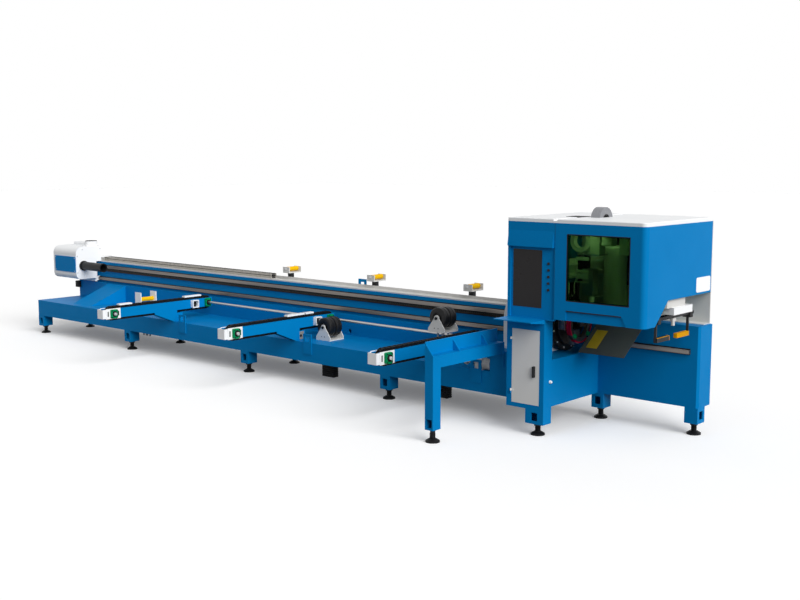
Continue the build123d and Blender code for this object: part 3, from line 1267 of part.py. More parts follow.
def cabin_shell():
    """Front and right walls of the cabin with the window and the recessed skirt."""
    shell = block(CABIN_LEFT, CABIN_RIGHT, CABIN_FRONT, CABIN_FRONT + CABIN_WALL, FRONT_BOTTOM, CABIN_TOP)
    shell += prism_x(side_outline(), CABIN_RIGHT - CABIN_WALL, CABIN_RIGHT)
    corner = block(CABIN_RIGHT - CABIN_ROUND, CABIN_RIGHT, CABIN_FRONT, CABIN_FRONT + CABIN_ROUND,
                   FRONT_BOTTOM, CABIN_TOP)
    shell += corner
    shell = fillet(shell.edges().filter_by(Axis.Z).sort_by_distance(
        (CABIN_RIGHT, CABIN_FRONT, (FRONT_BOTTOM + CABIN_TOP) / 2))[0], CABIN_ROUND)
    x0, x1, z0, z1 = window_box()
    step, rim = CABIN_FRONT + GLASS_INSET + GLASS_THICKNESS, WINDOW_REBATE
    shell -= block(x0, x1, CABIN_FRONT - CUT_OVERRUN, step, z0, z1)
    shell -= block(x0 + rim, x1 - rim, CABIN_FRONT, CABIN_FRONT + CABIN_WALL + CUT_OVERRUN,
                   z0 + rim, z1 - rim)
    left = CABIN_LEFT + SKIRT_LEFT_GAP
    right, top = CABIN_RIGHT - SKIRT_RIGHT_GAP, FRONT_BOTTOM + SKIRT_HEIGHT
    skirt = [(left, FRONT_BOTTOM), (right + SKIRT_FLARE, FRONT_BOTTOM), (right, top), (left, top)]
    return shell - prism_y(skirt, CABIN_FRONT, CABIN_FRONT + SKIRT_DEPTH)


def window_glass():
    """Pane seated in the window's rebate."""
    x0, x1, z0, z1 = window_box()
    gap = SLIDE_GAP
    front = CABIN_FRONT + GLASS_INSET
    return block(x0 + gap, x1 - gap, front, front + GLASS_THICKNESS, z0 + gap, z1 - gap)


def fan_left():
    """Left face of the fan drum."""
    return CABIN_LEFT + FAN_GAP


def roof_covers():
    """Two folded roof covers with a lower strip between them, slotted for cables and for the fan."""
    low, high = CABIN_TOP, CABIN_TOP + ROOF_THICKNESS
    left_end, right_start = CABIN_LEFT - ROOF_SPLIT / 2, CABIN_LEFT + ROOF_SPLIT / 2
    left = block(CONSOLE_LEFT, left_end, CABIN_FRONT, BED_DEPTH, low, high)
    left = fillet(left.edges().group_by(Axis.Z)[-1], ROOF_ROUND)
    left -= block(left_end - ROOF_SLOT_LENGTH, left_end + CUT_OVERRUN, ROOF_SLOT_Y - ROOF_SLOT_DEPTH / 2,
                  ROOF_SLOT_Y + ROOF_SLOT_DEPTH / 2, low - CUT_OVERRUN, high + CUT_OVERRUN)
    right = block(right_start, CABIN_RIGHT, CABIN_FRONT, BED_DEPTH, low, high)
    corner = right.edges().filter_by(Axis.Z).sort_by_distance((CABIN_RIGHT, CABIN_FRONT, low))[0]
    right = fillet(corner, CABIN_ROUND)
    right = fillet(right.edges().group_by(Axis.Z)[-1], ROOF_ROUND)
    reach = FAN_RADIUS + FAN_SIDE_GAP
    right -= block(fan_left(), fan_left() + FAN_WIDTH, FAN_Y - reach, FAN_Y + reach,
                   low - CUT_OVERRUN, high + CUT_OVERRUN)
    strip = block(left_end, right_start, CABIN_FRONT, BED_DEPTH, low, high - ROOF_STRIP_DROP)
    strip -= block(left_end - CUT_OVERRUN, right_start + CUT_OVERRUN, ROOF_SLOT_Y - ROOF_SLOT_DEPTH / 2,
                   ROOF_SLOT_Y + ROOF_SLOT_DEPTH / 2, low - CUT_OVERRUN, high)
    return [left, right, strip]


def rear_panel():
    """Sheet closing the back above the bed, with a flange on the bed's top."""
    sheet = block(CONSOLE_LEFT, CABIN_RIGHT, REAR_INNER, BED_DEPTH, BED_TOP, CABIN_TOP)
    return sheet + block(CABIN_LEFT, CABIN_RIGHT, REAR_INNER - REAR_FLANGE_DEPTH, REAR_INNER,
                         BED_TOP, BED_TOP + REAR_FLANGE_SHEET)


def fan_housing():
    """Drum of the exhaust fan with an intake eye on its right."""
    left, right, z = fan_left(), fan_left() + FAN_WIDTH, CABIN_TOP + FAN_RISE
    drum = rod_x(FAN_RADIUS, left, right, FAN_Y, z)
    drum -= rod_x(FAN_RADIUS - FAN_SHEET, left + FAN_SHEET, right - FAN_SHEET, FAN_Y, z)
    drum -= rod_x(FAN_EYE, right - FAN_SHEET - CUT_OVERRUN, right + CUT_OVERRUN, FAN_Y, z)
    return drum - rod_x(FAN_SHAFT + RUN_FIT, left - CUT_OVERRUN, left + FAN_SHEET + CUT_OVERRUN, FAN_Y, z)


def fan_impeller():
    """Bladed wheel of the fan on its shaft."""
    z = CABIN_TOP + FAN_RISE
    left = fan_left() + FAN_SHEET + WHEEL_CLEAR
    right = fan_left() + FAN_WIDTH - FAN_SHEET - WHEEL_CLEAR
    wheel = rod_x(WHEEL_TIP, left, left + WHEEL_PLATE, FAN_Y, z)
    wheel += rod_x(FAN_HUB, left, left + FAN_HUB_LENGTH, FAN_Y, z)
    wheel += rod_x(FAN_SHAFT, fan_left(), left, FAN_Y, z)
    rim = rod_x(WHEEL_TIP, right - WHEEL_PLATE, right, FAN_Y, z)
    wheel += rim - rod_x(WHEEL_ROOT, right - WHEEL_PLATE - CUT_OVERRUN, right + CUT_OVERRUN, FAN_Y, z)
    blade = block(left, right, -BLADE_THICKNESS / 2, BLADE_THICKNESS / 2, WHEEL_ROOT + BLADE_THICKNESS,
                  WHEEL_TIP - BLADE_THICKNESS)
    for index in range(BLADE_COUNT):
        wheel += Pos(0, FAN_Y, z) * Rot(360 * index / BLADE_COUNT, 0, 0) * blade
    return wheel


# Operator console


def screen_box():
    """Edges (x0, x1, z0, z1) of the screen."""
    return (CONSOLE_LEFT + SCREEN_LEFT_GAP, CABIN_LEFT - SCREEN_RIGHT_GAP,
            CONSOLE_BOTTOM + SCREEN_BOTTOM_GAP, CONSOLE_RECESS_TOP - SCREEN_TOP_GAP)


def button_places():
    """Centres (x, z) of the push buttons, from the top down."""
    x, top = CABIN_LEFT - BUTTON_RIGHT_GAP, CONSOLE_RECESS_TOP - BUTTON_TOP_GAP
    return [(x, top - BUTTON_PITCH * index) for index in range(BUTTON_COUNT)]


def door_box():
    """Edges (x0, x1, z0, z1) of the cabinet's door opening."""
    low = CABINET_BOTTOM + DOOR_BOTTOM_GAP
    return CONSOLE_LEFT + DOOR_LEFT_GAP, CABINET_RIGHT - DOOR_RIGHT_GAP, low, low + DOOR_HEIGHT


def hinge_axis():
    """Place (x, y) of the door's hinge pins."""
    return CONSOLE_LEFT + DOOR_LEFT_GAP - HINGE_RADIUS, CABIN_FRONT - HINGE_RADIUS


def hinge_heights():
    """Lower ends of the door's hinges."""
    x0, x1, z0, z1 = door_box()
    return [z0 + share * DOOR_HEIGHT for share in HINGE_SHARES]


def console_shell():
    """Console front with its recess, left wall, and the cabinet below with hinge pins for the door."""
    panel = block(CONSOLE_LEFT, CABIN_LEFT, CABIN_FRONT, CABIN_FRONT + CONSOLE_PANEL,
                  CONSOLE_BOTTOM, CABIN_TOP)
    panel -= block(CONSOLE_LEFT + RECESS_SIDE, CABIN_LEFT - RECESS_SEAM, CABIN_FRONT - CUT_OVERRUN,
                   CONSOLE_FACE, CONSOLE_BOTTOM + RECESS_SEAM, CONSOLE_RECESS_TOP)
    x0, x1, z0, z1 = screen_box()
    panel -= block(x0, x1, CONSOLE_FACE - CUT_OVERRUN, CONSOLE_FACE + SCREEN_THICKNESS - SCREEN_PROUD,
                   z0, z1)
    for x, z in button_places():
        panel -= rod_y(BUTTON_RADIUS + RUN_FIT, CABIN_FRONT, CABIN_FRONT + CONSOLE_PANEL + CUT_OVERRUN, x, z)
    wall = [(CABIN_FRONT, CONSOLE_BOTTOM), (SIDE_OPEN_FRONT, CONSOLE_BOTTOM), (SIDE_OPEN_FRONT, SIDE_BOTTOM),
            (REAR_INNER, SIDE_BOTTOM), (REAR_INNER, CABIN_TOP), (CABIN_FRONT, CABIN_TOP)]
    shell = panel + prism_x(wall, CONSOLE_LEFT, CONSOLE_LEFT + CONSOLE_WALL)
    cabinet = tube_box(CONSOLE_LEFT, CABINET_RIGHT, CABIN_FRONT, CABINET_BACK,
                       CABINET_BOTTOM, CONSOLE_BOTTOM, CABINET_WALL)
    x0, x1, z0, z1 = door_box()
    cabinet -= block(x0, x1, CABIN_FRONT - CUT_OVERRUN, CABIN_FRONT + DOOR_THICKNESS + CUT_OVERRUN, z0, z1)
    pin_x, pin_y = hinge_axis()
    for z in hinge_heights():
        middle = z + HINGE_LENGTH / 2
        cabinet += rod_z(HINGE_RADIUS, z, middle, pin_x, pin_y)
        cabinet += rod_z(HINGE_PIN, middle, z + HINGE_LENGTH, pin_x, pin_y)
        cabinet += block(pin_x - HINGE_LEAF_WIDTH, pin_x, CABIN_FRONT - HINGE_LEAF, CABIN_FRONT, z, middle)
    return shell + cabinet


def screen():
    """Portrait screen set into the console's face."""
    x0, x1, z0, z1 = screen_box()
    front = CONSOLE_FACE - SCREEN_PROUD
    gap = SLIDE_GAP
    return block(x0 + gap, x1 - gap, front, front + SCREEN_THICKNESS, z0 + gap, z1 - gap)


def button(x, z):
    """Push button with a stem through the console's face and a rim behind it."""
    front, back = CONSOLE_FACE - BUTTON_PROUD, CABIN_FRONT + CONSOLE_PANEL + SLIDE_GAP
    stem = rod_y(BUTTON_RADIUS, front, back, x, z)
    stem = fillet(stem.edges().group_by(Axis.Y)[0], BUTTON_ROUND)
    return stem + rod_y(BUTTON_RIM, back, back + BUTTON_RIM_LENGTH, x, z)


def cabinet_door():
    """Flat door with hinge knuckles on its left edge."""
    x0, x1, z0, z1 = door_box()
    gap = DOOR_GAP
    door = block(x0 + gap, x1 - gap, CABIN_FRONT, CABIN_FRONT + DOOR_THICKNESS, z0 + gap, z1 - gap)
    pin_x, pin_y = hinge_axis()
    for z in hinge_heights():
        low, high = z + HINGE_LENGTH / 2 + SLIDE_GAP, z + HINGE_LENGTH
        knuckle = rod_z(HINGE_RADIUS, low, high, pin_x, pin_y)
        knuckle += block(pin_x, pin_x + HINGE_LEAF_WIDTH, CABIN_FRONT - HINGE_LEAF, CABIN_FRONT, low, high)
        door += knuckle - rod_z(HINGE_PIN + RUN_FIT, low - CUT_OVERRUN, high + CUT_OVERRUN, pin_x, pin_y)
    return door


def door_handle():
    """Bar handle on the right of the door."""
    x0, x1, z0, z1 = door_box()
    right, low = x1 - HANDLE_RIGHT_GAP, z0 + HANDLE_LOW_GAP
    bar = block(right - HANDLE_WIDTH, right, CABIN_FRONT - HANDLE_PROUD, CABIN_FRONT,
                low, low + HANDLE_HEIGHT)
    return fillet(bar.edges().group_by(Axis.Y)[0] + bar.edges().filter_by(Axis.Y), HANDLE_ROUND)


def keyboard_shelf():
    """Tray in front of the console, thinner towards its front edge."""
    top, front = CONSOLE_BOTTOM, CABIN_FRONT - SHELF_REACH
    outline = [(CABIN_FRONT, top), (front, top), (front, top - SHELF_EDGE), (CABIN_FRONT, top - SHELF_THICKNESS)]
    return prism_x(outline, CONSOLE_LEFT, CABINET_RIGHT)


# Part chute and gripper


def chute_plate():
    """Sloped sheet with a hinge eye along its upper edge, the hinge pin and a raised pad."""
    left, right = chute_left(), chute_left() + CHUTE_WIDTH
    y, z = chute_pin()
    sheet = block(left, right, -CHUTE_LENGTH, 0, -CHUTE_SHEET / 2, CHUTE_SHEET / 2)
    sheet += block(left + CHUTE_PAD_LEFT, left + CHUTE_PAD_LEFT + CHUTE_PAD_WIDTH,
                   -CHUTE_LENGTH + CHUTE_PAD_START, -CHUTE_LENGTH + CHUTE_PAD_START + CHUTE_PAD_LENGTH,
                   CHUTE_SHEET / 2, CHUTE_SHEET / 2 + CHUTE_PAD_THICKNESS)
    plate = Pos(0, y, z) * Rot(CHUTE_ANGLE, 0, 0) * sheet
    plate += rod_x(CHUTE_EYE, left, right, y, z)
    reach = LUG_GAP + LUG_THICKNESS
    return plate + rod_x(CHUTE_PIN, left - reach, right + reach, y, z)


def grip_heights():
    """Lower faces (z) of the gripper's slide bar and of its body."""
    body = AXIS_Z + GRIP_BODY_RISE
    return body - BAR_HEIGHT, body


def gripper_body():
    """Gripper body under a hanger on the cabin's right wall, with the slide bar under it."""
    bar_low, low = grip_heights()
    high = low + GRIP_BODY_HEIGHT
    half = GRIP_BODY_WIDTH / 2
    body = block(GRIP_X - half, GRIP_X + half, GRIP_BODY_FRONT, GRIP_BODY_BACK, low, high)
    wall = CABIN_RIGHT - CABIN_WALL
    body += block(wall - GRIP_HANGER_WIDTH, wall, GRIP_HANGER_FRONT, GRIP_HANGER_FRONT + GRIP_HANGER_LENGTH,
                  high, SIDE_BOTTOM + GRIP_HANGER_OVERLAP)
    return body + block(GRIP_X - BAR_WIDTH / 2, GRIP_X + BAR_WIDTH / 2, BAR_FRONT, BAR_BACK, bar_low, low)


def finger(slider_y, pad_end):
    """Slider around the bar, an upright finger and a pad reaching towards the tube."""
    bar_low, body_low = grip_heights()
    half, bar = SLIDER_LENGTH / 2, BAR_WIDTH / 2 + SLIDE_GAP
    outer, low = bar + SLIDER_SIDE, bar_low - SLIDE_GAP - SLIDER_DROP
    slider = block(GRIP_X - outer, GRIP_X + outer, slider_y - half, slider_y + half,
                   low, bar_low + SLIDER_GRIP)
    slider -= block(GRIP_X - bar, GRIP_X + bar, slider_y - half - CUT_OVERRUN, slider_y + half + CUT_OVERRUN,
                    bar_low - SLIDE_GAP, body_low)
    pad_low = AXIS_Z - FINGER_DROP
    slider += block(GRIP_X - FINGER_WIDTH / 2, GRIP_X + FINGER_WIDTH / 2, slider_y - FINGER_DEPTH / 2,
                    slider_y + FINGER_DEPTH / 2, pad_low, low)
    near, far = sorted((slider_y, pad_end))
    return slider + block(GRIP_X - JAW_PAD_WIDTH / 2, GRIP_X + JAW_PAD_WIDTH / 2, near, far,
                          pad_low, pad_low + JAW_PAD_HEIGHT)


os.makedirs("parts", exist_ok=True)
save("bed_beam", *bed_beam())
save("front_beam", *front_beam())
save("deck_plate", *deck_plate())
save("chuck_pedestal", chuck_pedestal())
save("leg_blocks", *leg_blocks())
save("levelling_feet", *levelling_feet())
save("guide_rails", *guide_rails())
save("gear_rack", gear_rack())
save("cable_trough", *cable_trough())
save("drag_chain", drag_chain())
save("carriage_plate", *carriage_plate())
save("carriage_housing", carriage_housing())
save("carriage_side_cover", carriage_side_cover())
save("rear_spindle", rear_spindle())
save("loader_beams", *loader_beams())
save("loader_chains", *loader_chains())
save("loader_end_plates", *loader_end_plates())
save("bearing_blocks", *bearing_blocks())
save("drive_shaft", *drive_shaft())
save("front_sprockets", *front_sprockets())
save("gear_motor", gear_motor())
save("lift_guides", *lift_guides())
for number, (wheel_x, lift) in enumerate(zip(loader_places(WHEEL_SHARES), (0, LIFT_STROKE)), start=1):
    save(f"wheel_{number}_bracket", wheel_bracket(wheel_x, lift))
    save(f"wheel_{number}", twin_wheel(wheel_x, lift))
save("roller_lift_frame", roller_lift_frame())
save("lift_roller", lift_roller())
save("rear_stand_posts", *rear_stand_posts())
save("rear_stand_forks", *rear_stand_forks())
for number, stand_x in enumerate(places(STAND_SHARES), start=1):
    save(f"rear_roller_{number}", rear_roller(stand_x))
save("end_gate", end_gate())
save("front_chuck_housing", front_chuck_housing())
save("front_chuck_rotor", *front_chuck_rotor())
save("front_jaws", *front_jaws())
save("head_beam", head_beam())
save("head_slide", head_slide())
save("cutting_head", cutting_head())
save("cabin_shell", cabin_shell())
save("window_glass", window_glass())
save("roof_covers", *roof_covers())
save("rear_panel", rear_panel())
save("fan_housing", fan_housing())
save("fan_impeller", fan_impeller())
save("console_shell", console_shell())
save("screen", screen())
for number, (button_x, button_z) in enumerate(button_places(), start=1):
    save(f"button_{number}", button(button_x, button_z))
save("cabinet_door", cabinet_door())
save("door_handle", door_handle())
save("keyboard_shelf", keyboard_shelf())
save("chute_plate", chute_plate())
save("gripper_body", gripper_body())
save("finger_front", finger(FRONT_SLIDER_Y, FRONT_PAD_END))
save("finger_rear", finger(REAR_SLIDER_Y, REAR_PAD_END))
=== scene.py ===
import math

import bmesh
import bpy
import numpy as np
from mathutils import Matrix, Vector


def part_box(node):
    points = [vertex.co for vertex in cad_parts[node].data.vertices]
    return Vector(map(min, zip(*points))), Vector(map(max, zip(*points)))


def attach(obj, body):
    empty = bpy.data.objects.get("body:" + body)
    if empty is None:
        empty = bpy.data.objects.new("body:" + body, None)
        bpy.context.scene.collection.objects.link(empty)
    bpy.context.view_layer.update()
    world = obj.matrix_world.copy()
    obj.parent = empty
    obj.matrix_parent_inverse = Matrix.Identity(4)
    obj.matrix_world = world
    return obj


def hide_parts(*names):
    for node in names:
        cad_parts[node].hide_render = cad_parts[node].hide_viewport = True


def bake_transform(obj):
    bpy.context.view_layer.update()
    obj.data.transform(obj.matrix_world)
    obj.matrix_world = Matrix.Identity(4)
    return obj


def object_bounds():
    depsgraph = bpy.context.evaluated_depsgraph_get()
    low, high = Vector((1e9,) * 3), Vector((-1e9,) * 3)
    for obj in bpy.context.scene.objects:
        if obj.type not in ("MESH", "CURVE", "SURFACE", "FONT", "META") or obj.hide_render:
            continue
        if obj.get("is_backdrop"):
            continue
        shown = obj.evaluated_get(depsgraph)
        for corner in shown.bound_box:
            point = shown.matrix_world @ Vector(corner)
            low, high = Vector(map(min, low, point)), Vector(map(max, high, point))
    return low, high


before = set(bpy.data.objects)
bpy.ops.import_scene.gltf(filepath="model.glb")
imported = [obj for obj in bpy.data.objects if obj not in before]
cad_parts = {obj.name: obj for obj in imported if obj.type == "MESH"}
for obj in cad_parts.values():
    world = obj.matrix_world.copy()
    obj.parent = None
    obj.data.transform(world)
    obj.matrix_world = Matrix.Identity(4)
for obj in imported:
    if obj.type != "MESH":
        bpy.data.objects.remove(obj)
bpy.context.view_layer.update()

# The photograph's view: a camera at the machine's right front, a little above its roof, looking along the
# bed towards its far left end. 50 mm lens on a 36 mm wide sensor.
CAMERA_PLACE = (8.68, -7.7475, 2.32)
CAMERA_TURN, CAMERA_DIP = 41.4, 7.4
LENS, SENSOR_WIDTH, FAR_CLIP = 50, 36, 200
camera = bpy.data.objects.new("camera", bpy.data.cameras.new("camera"))
bpy.context.scene.collection.objects.link(camera)
camera.data.lens, camera.data.sensor_width, camera.data.clip_end = LENS, SENSOR_WIDTH, FAR_CLIP
camera.location = CAMERA_PLACE
camera.rotation_euler = (math.radians(90 - CAMERA_DIP), 0, math.radians(CAMERA_TURN))
bpy.context.scene.camera = camera
bpy.context.scene.view_settings.view_transform = "Standard"


# Studio: a white paper floor and white surroundings, lit by a broad dome and a large soft lamp on the right.
# The paper is white to the camera and in reflections, and greyer to bounced light, so it keeps the shadow
# without brightening the machine from below.
PAPER, PAPER_BOUNCE, PAPER_GLOW = "#FBFBFB", "#6E6F72", 0.14
DOME_LEVEL, LAMP_LEVEL, LAMP_SPREAD = 0.36, 3.3, 50.0
LAMP_FROM = (0.66, -0.17, 0.42)
FLOOR_CORNERS = 60.0 * np.array([(-1, -1, 0), (1, -1, 0), (1, 1, 0), (-1, 1, 0)])


def linear(hex_colour):
    """An sRGB hex colour in linear light: each channel over 255, then the sRGB curve undone."""
    channels = np.array([int(hex_colour[i:i + 2], 16) for i in (1, 3, 5)]) / 255
    return (*np.where(channels <= 0.04045, channels / 12.92, ((channels + 0.055) / 1.055) ** 2.4), 1.0)


def add(tree, kind, sockets=None, **settings):
    """One node with its settings. Its sockets, by name or number, take a link from a socket, or a value."""
    made = tree.nodes.new(kind)
    for key, value in settings.items():
        setattr(made, key, value)
    for key, value in (sockets or {}).items():
        if isinstance(value, bpy.types.NodeSocket):
            tree.links.new(value, made.inputs[key])
        else:
            made.inputs[key].default_value = value
    return made


def seen(tree):
    """1 for camera, mirror and glass rays, 0 for bounced light: the three ray kinds added, at most 1."""
    rays = add(tree, "ShaderNodeLightPath").outputs
    some = add(tree, "ShaderNodeMath", {0: rays["Is Camera Ray"], 1: rays["Is Glossy Ray"]}, operation="ADD")
    return add(tree, "ShaderNodeMath", {0: some.outputs[0], 1: rays["Is Transmission Ray"]}, operation="ADD",
               use_clamp=True).outputs[0]


world = bpy.data.worlds.new("studio")
bpy.context.scene.world = world
world.use_nodes = True
tree = world.node_tree
tree.nodes.clear()
level = add(tree, "ShaderNodeMapRange", {0: seen(tree), 3: DOME_LEVEL, 4: 1.0})
dome = add(tree, "ShaderNodeBackground", {0: (1, 1, 1, 1), 1: level.outputs[0]})
add(tree, "ShaderNodeOutputWorld", {0: dome.outputs[0]})

lamp = bpy.data.objects.new("soft_lamp", bpy.data.lights.new("soft_lamp", "SUN"))
bpy.context.scene.collection.objects.link(lamp)
lamp.data.energy, lamp.data.angle = LAMP_LEVEL, math.radians(LAMP_SPREAD)
steep = math.atan2(math.hypot(LAMP_FROM[0], LAMP_FROM[1]), LAMP_FROM[2])
lamp.rotation_euler = (0, steep, math.atan2(LAMP_FROM[1], LAMP_FROM[0]))

paper = bpy.data.materials.new("studio_paper")
paper.use_nodes = True
tree = paper.node_tree
tree.nodes.clear()
tone = add(tree, "ShaderNodeMix", {0: seen(tree), 6: linear(PAPER_BOUNCE), 7: linear(PAPER)},
           data_type="RGBA")
matt = add(tree, "ShaderNodeBsdfDiffuse", {0: tone.outputs[2]})
glow_level = add(tree, "ShaderNodeMapRange", {0: seen(tree), 3: 0.0, 4: PAPER_GLOW})
glow = add(tree, "ShaderNodeEmission", {1: glow_level.outputs[0]})
both = add(tree, "ShaderNodeAddShader", {0: matt.outputs[0], 1: glow.outputs[0]})
add(tree, "ShaderNodeOutputMaterial", {0: both.outputs[0]})
sheet = bpy.data.meshes.new("floor")
sheet.from_pydata(FLOOR_CORNERS.tolist(), [], [(0, 1, 2, 3)])
sheet.materials.append(paper)
floor = bpy.data.objects.new("floor", sheet)
bpy.context.scene.collection.objects.link(floor)
floor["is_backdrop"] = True


# Frame: the bed beam, the low front beam with its brackets, the deck, the chuck pedestal and the legs.
# Welded steel tube and plate, powder coated blue in one shop, so they share one finish.
PEEL, PEEL_DEPTH, CLOUD = 0.010, 0.001, 0.4


def dress(finish, *nodes):
    """Gives CAD nodes their finish: every material slot of the node's object holds that one material."""
    for name in nodes:
        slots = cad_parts[name].data.materials
        slots.clear()
        slots.append(finish)


def new_finish(name):
    """A new material with an empty node tree. Gives the material, its tree and the piece's Object coordinates."""
    made = bpy.data.materials.new(name)
    made.use_nodes = True
    made.node_tree.nodes.clear()
    return made, made.node_tree, add(made.node_tree, "ShaderNodeTexCoord").outputs["Object"]


def powder_coat(name, colour, shade, roughness):
    """Baked powder paint, enamel or cast urethane: satin, with an orange peel skin and a faint cloud in its tone
    and gloss. The peel is about 4 mm across on real paint and drawn at 10 mm so that it shows; clouds are 400 mm."""
    finish, tree, place = new_finish(name)
    cloud = add(tree, "ShaderNodeTexNoise", {"Vector": place, "Scale": 1 / CLOUD, "Detail": 3.0})
    peel = add(tree, "ShaderNodeTexNoise", {"Vector": place, "Scale": 1 / PEEL, "Detail": 1.0})
    tone = add(tree, "ShaderNodeMix", {0: cloud.outputs[0], 6: linear(colour), 7: linear(shade)}, data_type="RGBA")
    gloss = add(tree, "ShaderNodeMapRange", {0: cloud.outputs[0], 3: roughness - 0.06, 4: roughness + 0.06})
    skin = add(tree, "ShaderNodeBump", {"Strength": 0.06, "Distance": PEEL_DEPTH, "Height": peel.outputs[0]})
    coat = add(tree, "ShaderNodeBsdfPrincipled", {"Base Color": tone.outputs[2], "Roughness": gloss.outputs[0],
                                                  "Specular IOR Level": 0.05, "Normal": skin.outputs[0]})
    add(tree, "ShaderNodeOutputMaterial", {0: coat.outputs[0]})
    return finish


blue_coat = powder_coat("blue_powder_coat", "#007DBF", "#0075B4", 0.45)
dress(blue_coat, "bed_beam", "front_beam", "deck_plate", "chuck_pedestal", "leg_blocks")


# Bed stop: a moulded rubber buffer at the bed's left end, screwed to its front face beside the steel stop block.
# Two ribs stand out on its front. Moulded rubber is matt black and takes almost no shine.
ORIGIN = np.array([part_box("cable_trough")[0][0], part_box("guide_rails")[1][1], 0.0])
STOP_LOW, STOP_HIGH, STOP_EDGE = (-36, -70, 553), (58, 1, 638), 5
STOP_RIB_LOW, STOP_RIB_HIGH = ((-14, -76, 566), (-14, -76, 603)), ((36, -69, 588), (36, -69, 625))


def loft(rings, loop=False):
    """Shells from rings of points, an array of copies, rings, points around and 3: quads join each ring to the
    next. Flat faces close the first and last ring, or quads join them where the rings run in a loop."""
    copies, rows, around = rings.shape[:3]
    number = np.arange(copies * rows * around).reshape(copies, rows, around)
    ahead = np.roll(number, -1, axis=2)
    last = rows if loop else rows - 1
    after, beyond = (np.roll(grid, -1, axis=1)[:, :last] for grid in (number, ahead))
    quads = np.stack([number[:, :last], ahead[:, :last], beyond, after], axis=-1).reshape(-1, 4)
    ends = np.concatenate([number[:, 0, ::-1], number[:, -1]])
    return rings.reshape(-1, 3), [quads] if loop else [quads, ends]


def outline(half, radius):
    """Rounded rectangles about 0: for each corner its inset place plus a quarter circle in three points.
    half is an array of half widths and heights; the points come as an array with 12 and 2 last."""
    turn = np.radians(np.array([0, 45, 90]) + 90 * np.arange(4)[:, None])
    way = np.stack([np.cos(turn), np.sin(turn)], axis=-1)
    corner = np.sign(way[:, 1:2]) + 0 * way
    half = np.asarray(half, float)[..., None, :]
    return corner.reshape(12, 2) * (half - radius) + radius * way.reshape(12, 2)


def blocks(lows, highs, edge):
    """Blocks with softened edges, one for each low and high corner: four rings of a rounded rectangle along z,
    the first and last drawn in by 0.7 of the edge."""
    lows, highs = (np.atleast_2d(np.asarray(corner, float)) for corner in (lows, highs))
    half, middle = (highs - lows) / 2, (highs + lows) / 2
    draw = edge * np.array([0.7, 0.0, 0.0, 0.7])
    flat = np.stack([outline(half[:, :2] - inset, edge - inset) for inset in draw], axis=1)
    height = half[:, 2:] * [-1, -1, 1, 1] + edge * np.array([0, 0.7, -0.7, 0])
    rings = np.concatenate([flat, np.broadcast_to(height[:, :, None, None], flat.shape[:3] + (1,))], axis=-1)
    return loft(rings + middle[:, None, None])


def piece(name, body, slot, finish, *shells, bend=40):
    """One mesh of closed shells, in millimetres from the bed's left end, its front face and the floor: stacked,
    turned to the frame's metres, faces set outwards, smooth where they meet at less than bend degrees."""
    starts = np.cumsum([0] + [len(points) for points, _ in shells])
    points = np.concatenate([points for points, _ in shells]) / 1000 + ORIGIN
    faces = [row for (_, kinds), start in zip(shells, starts) for kind in kinds for row in (kind + start).tolist()]
    mesh = bpy.data.meshes.new(name)
    mesh.from_pydata(points.tolist(), [], faces)
    work = bmesh.new()
    work.from_mesh(mesh)
    bmesh.ops.recalc_face_normals(work, faces=work.faces)
    work.to_mesh(mesh)
    work.free()
    mesh.shade_smooth()
    mesh.set_sharp_from_angle(angle=math.radians(bend))
    mesh.materials.append(finish)
    made = bpy.data.objects.new(name, mesh)
    bpy.context.scene.collection.objects.link(made)
    if body:
        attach(made, body)
    return made


def mottled(name, colour, shade, roughness, metallic, grain):
    """Plated or painted metal, rubber, nylon or glass: a tone that wanders over patches of that grain, in metres,
    with its gloss and a slight unevenness."""
    finish, tree, place = new_finish(name)
    patch = add(tree, "ShaderNodeTexNoise", {"Vector": place, "Scale": 1 / grain, "Detail": 4.0})
    tone = add(tree, "ShaderNodeMix", {0: patch.outputs[0], 6: linear(colour), 7: linear(shade)}, data_type="RGBA")
    gloss = add(tree, "ShaderNodeMapRange", {0: patch.outputs[0], 3: roughness - 0.08, 4: roughness + 0.08})
    skin = add(tree, "ShaderNodeBump", {"Strength": 0.1, "Distance": 0.0005, "Height": patch.outputs[0]})
    metal = add(tree, "ShaderNodeBsdfPrincipled", {"Base Color": tone.outputs[2], "Metallic": metallic,
                                                   "Roughness": gloss.outputs[0], "Specular IOR Level": 0.2,
                                                   "Normal": skin.outputs[0]})
    add(tree, "ShaderNodeOutputMaterial", {0: metal.outputs[0]})
    return finish


black_rubber_and_shade = mottled("black_rubber_and_painted_shade", "#1D1D1E", "#141415", 0.65, 0.0, 0.02)
piece("bed_stop_buffer", "machine", "black_plastic", black_rubber_and_shade, blocks(STOP_LOW, STOP_HIGH, STOP_EDGE),
      blocks(STOP_RIB_LOW, STOP_RIB_HIGH, edge=2))


# Levelling feet: a turned steel pad and a threaded stud under each leg, blackened in hot oxide, with a lock
# nut under the leg and a zinc plated nut above it. Oxide gives dark grey with a dull shine, zinc a pale grey.
FEET = np.array([(77, -605), (2000, -605), (4139, -605), (6180, -605), (77, 65), (2070, 65), (4140, 65),
                 (6180, 65), (8120, 65), (9020, 65), (8049, -820), (7542, -1590)], float)
STUD_RADIUS, THREAD_DEPTH, THREAD_PITCH, THREAD_LOW, THREAD_TURNS = 22.2, 2.6, 6.0, 34.0, 7
LOCK_NUT, LOCK_LOW, LOCK_HIGH = 36.0, 80.0, 99.0
TOP_NUT, TOP_LOW, TOP_HIGH = 25.0, 101.0, 121.0
X, Y, Z = 0, 1, 2


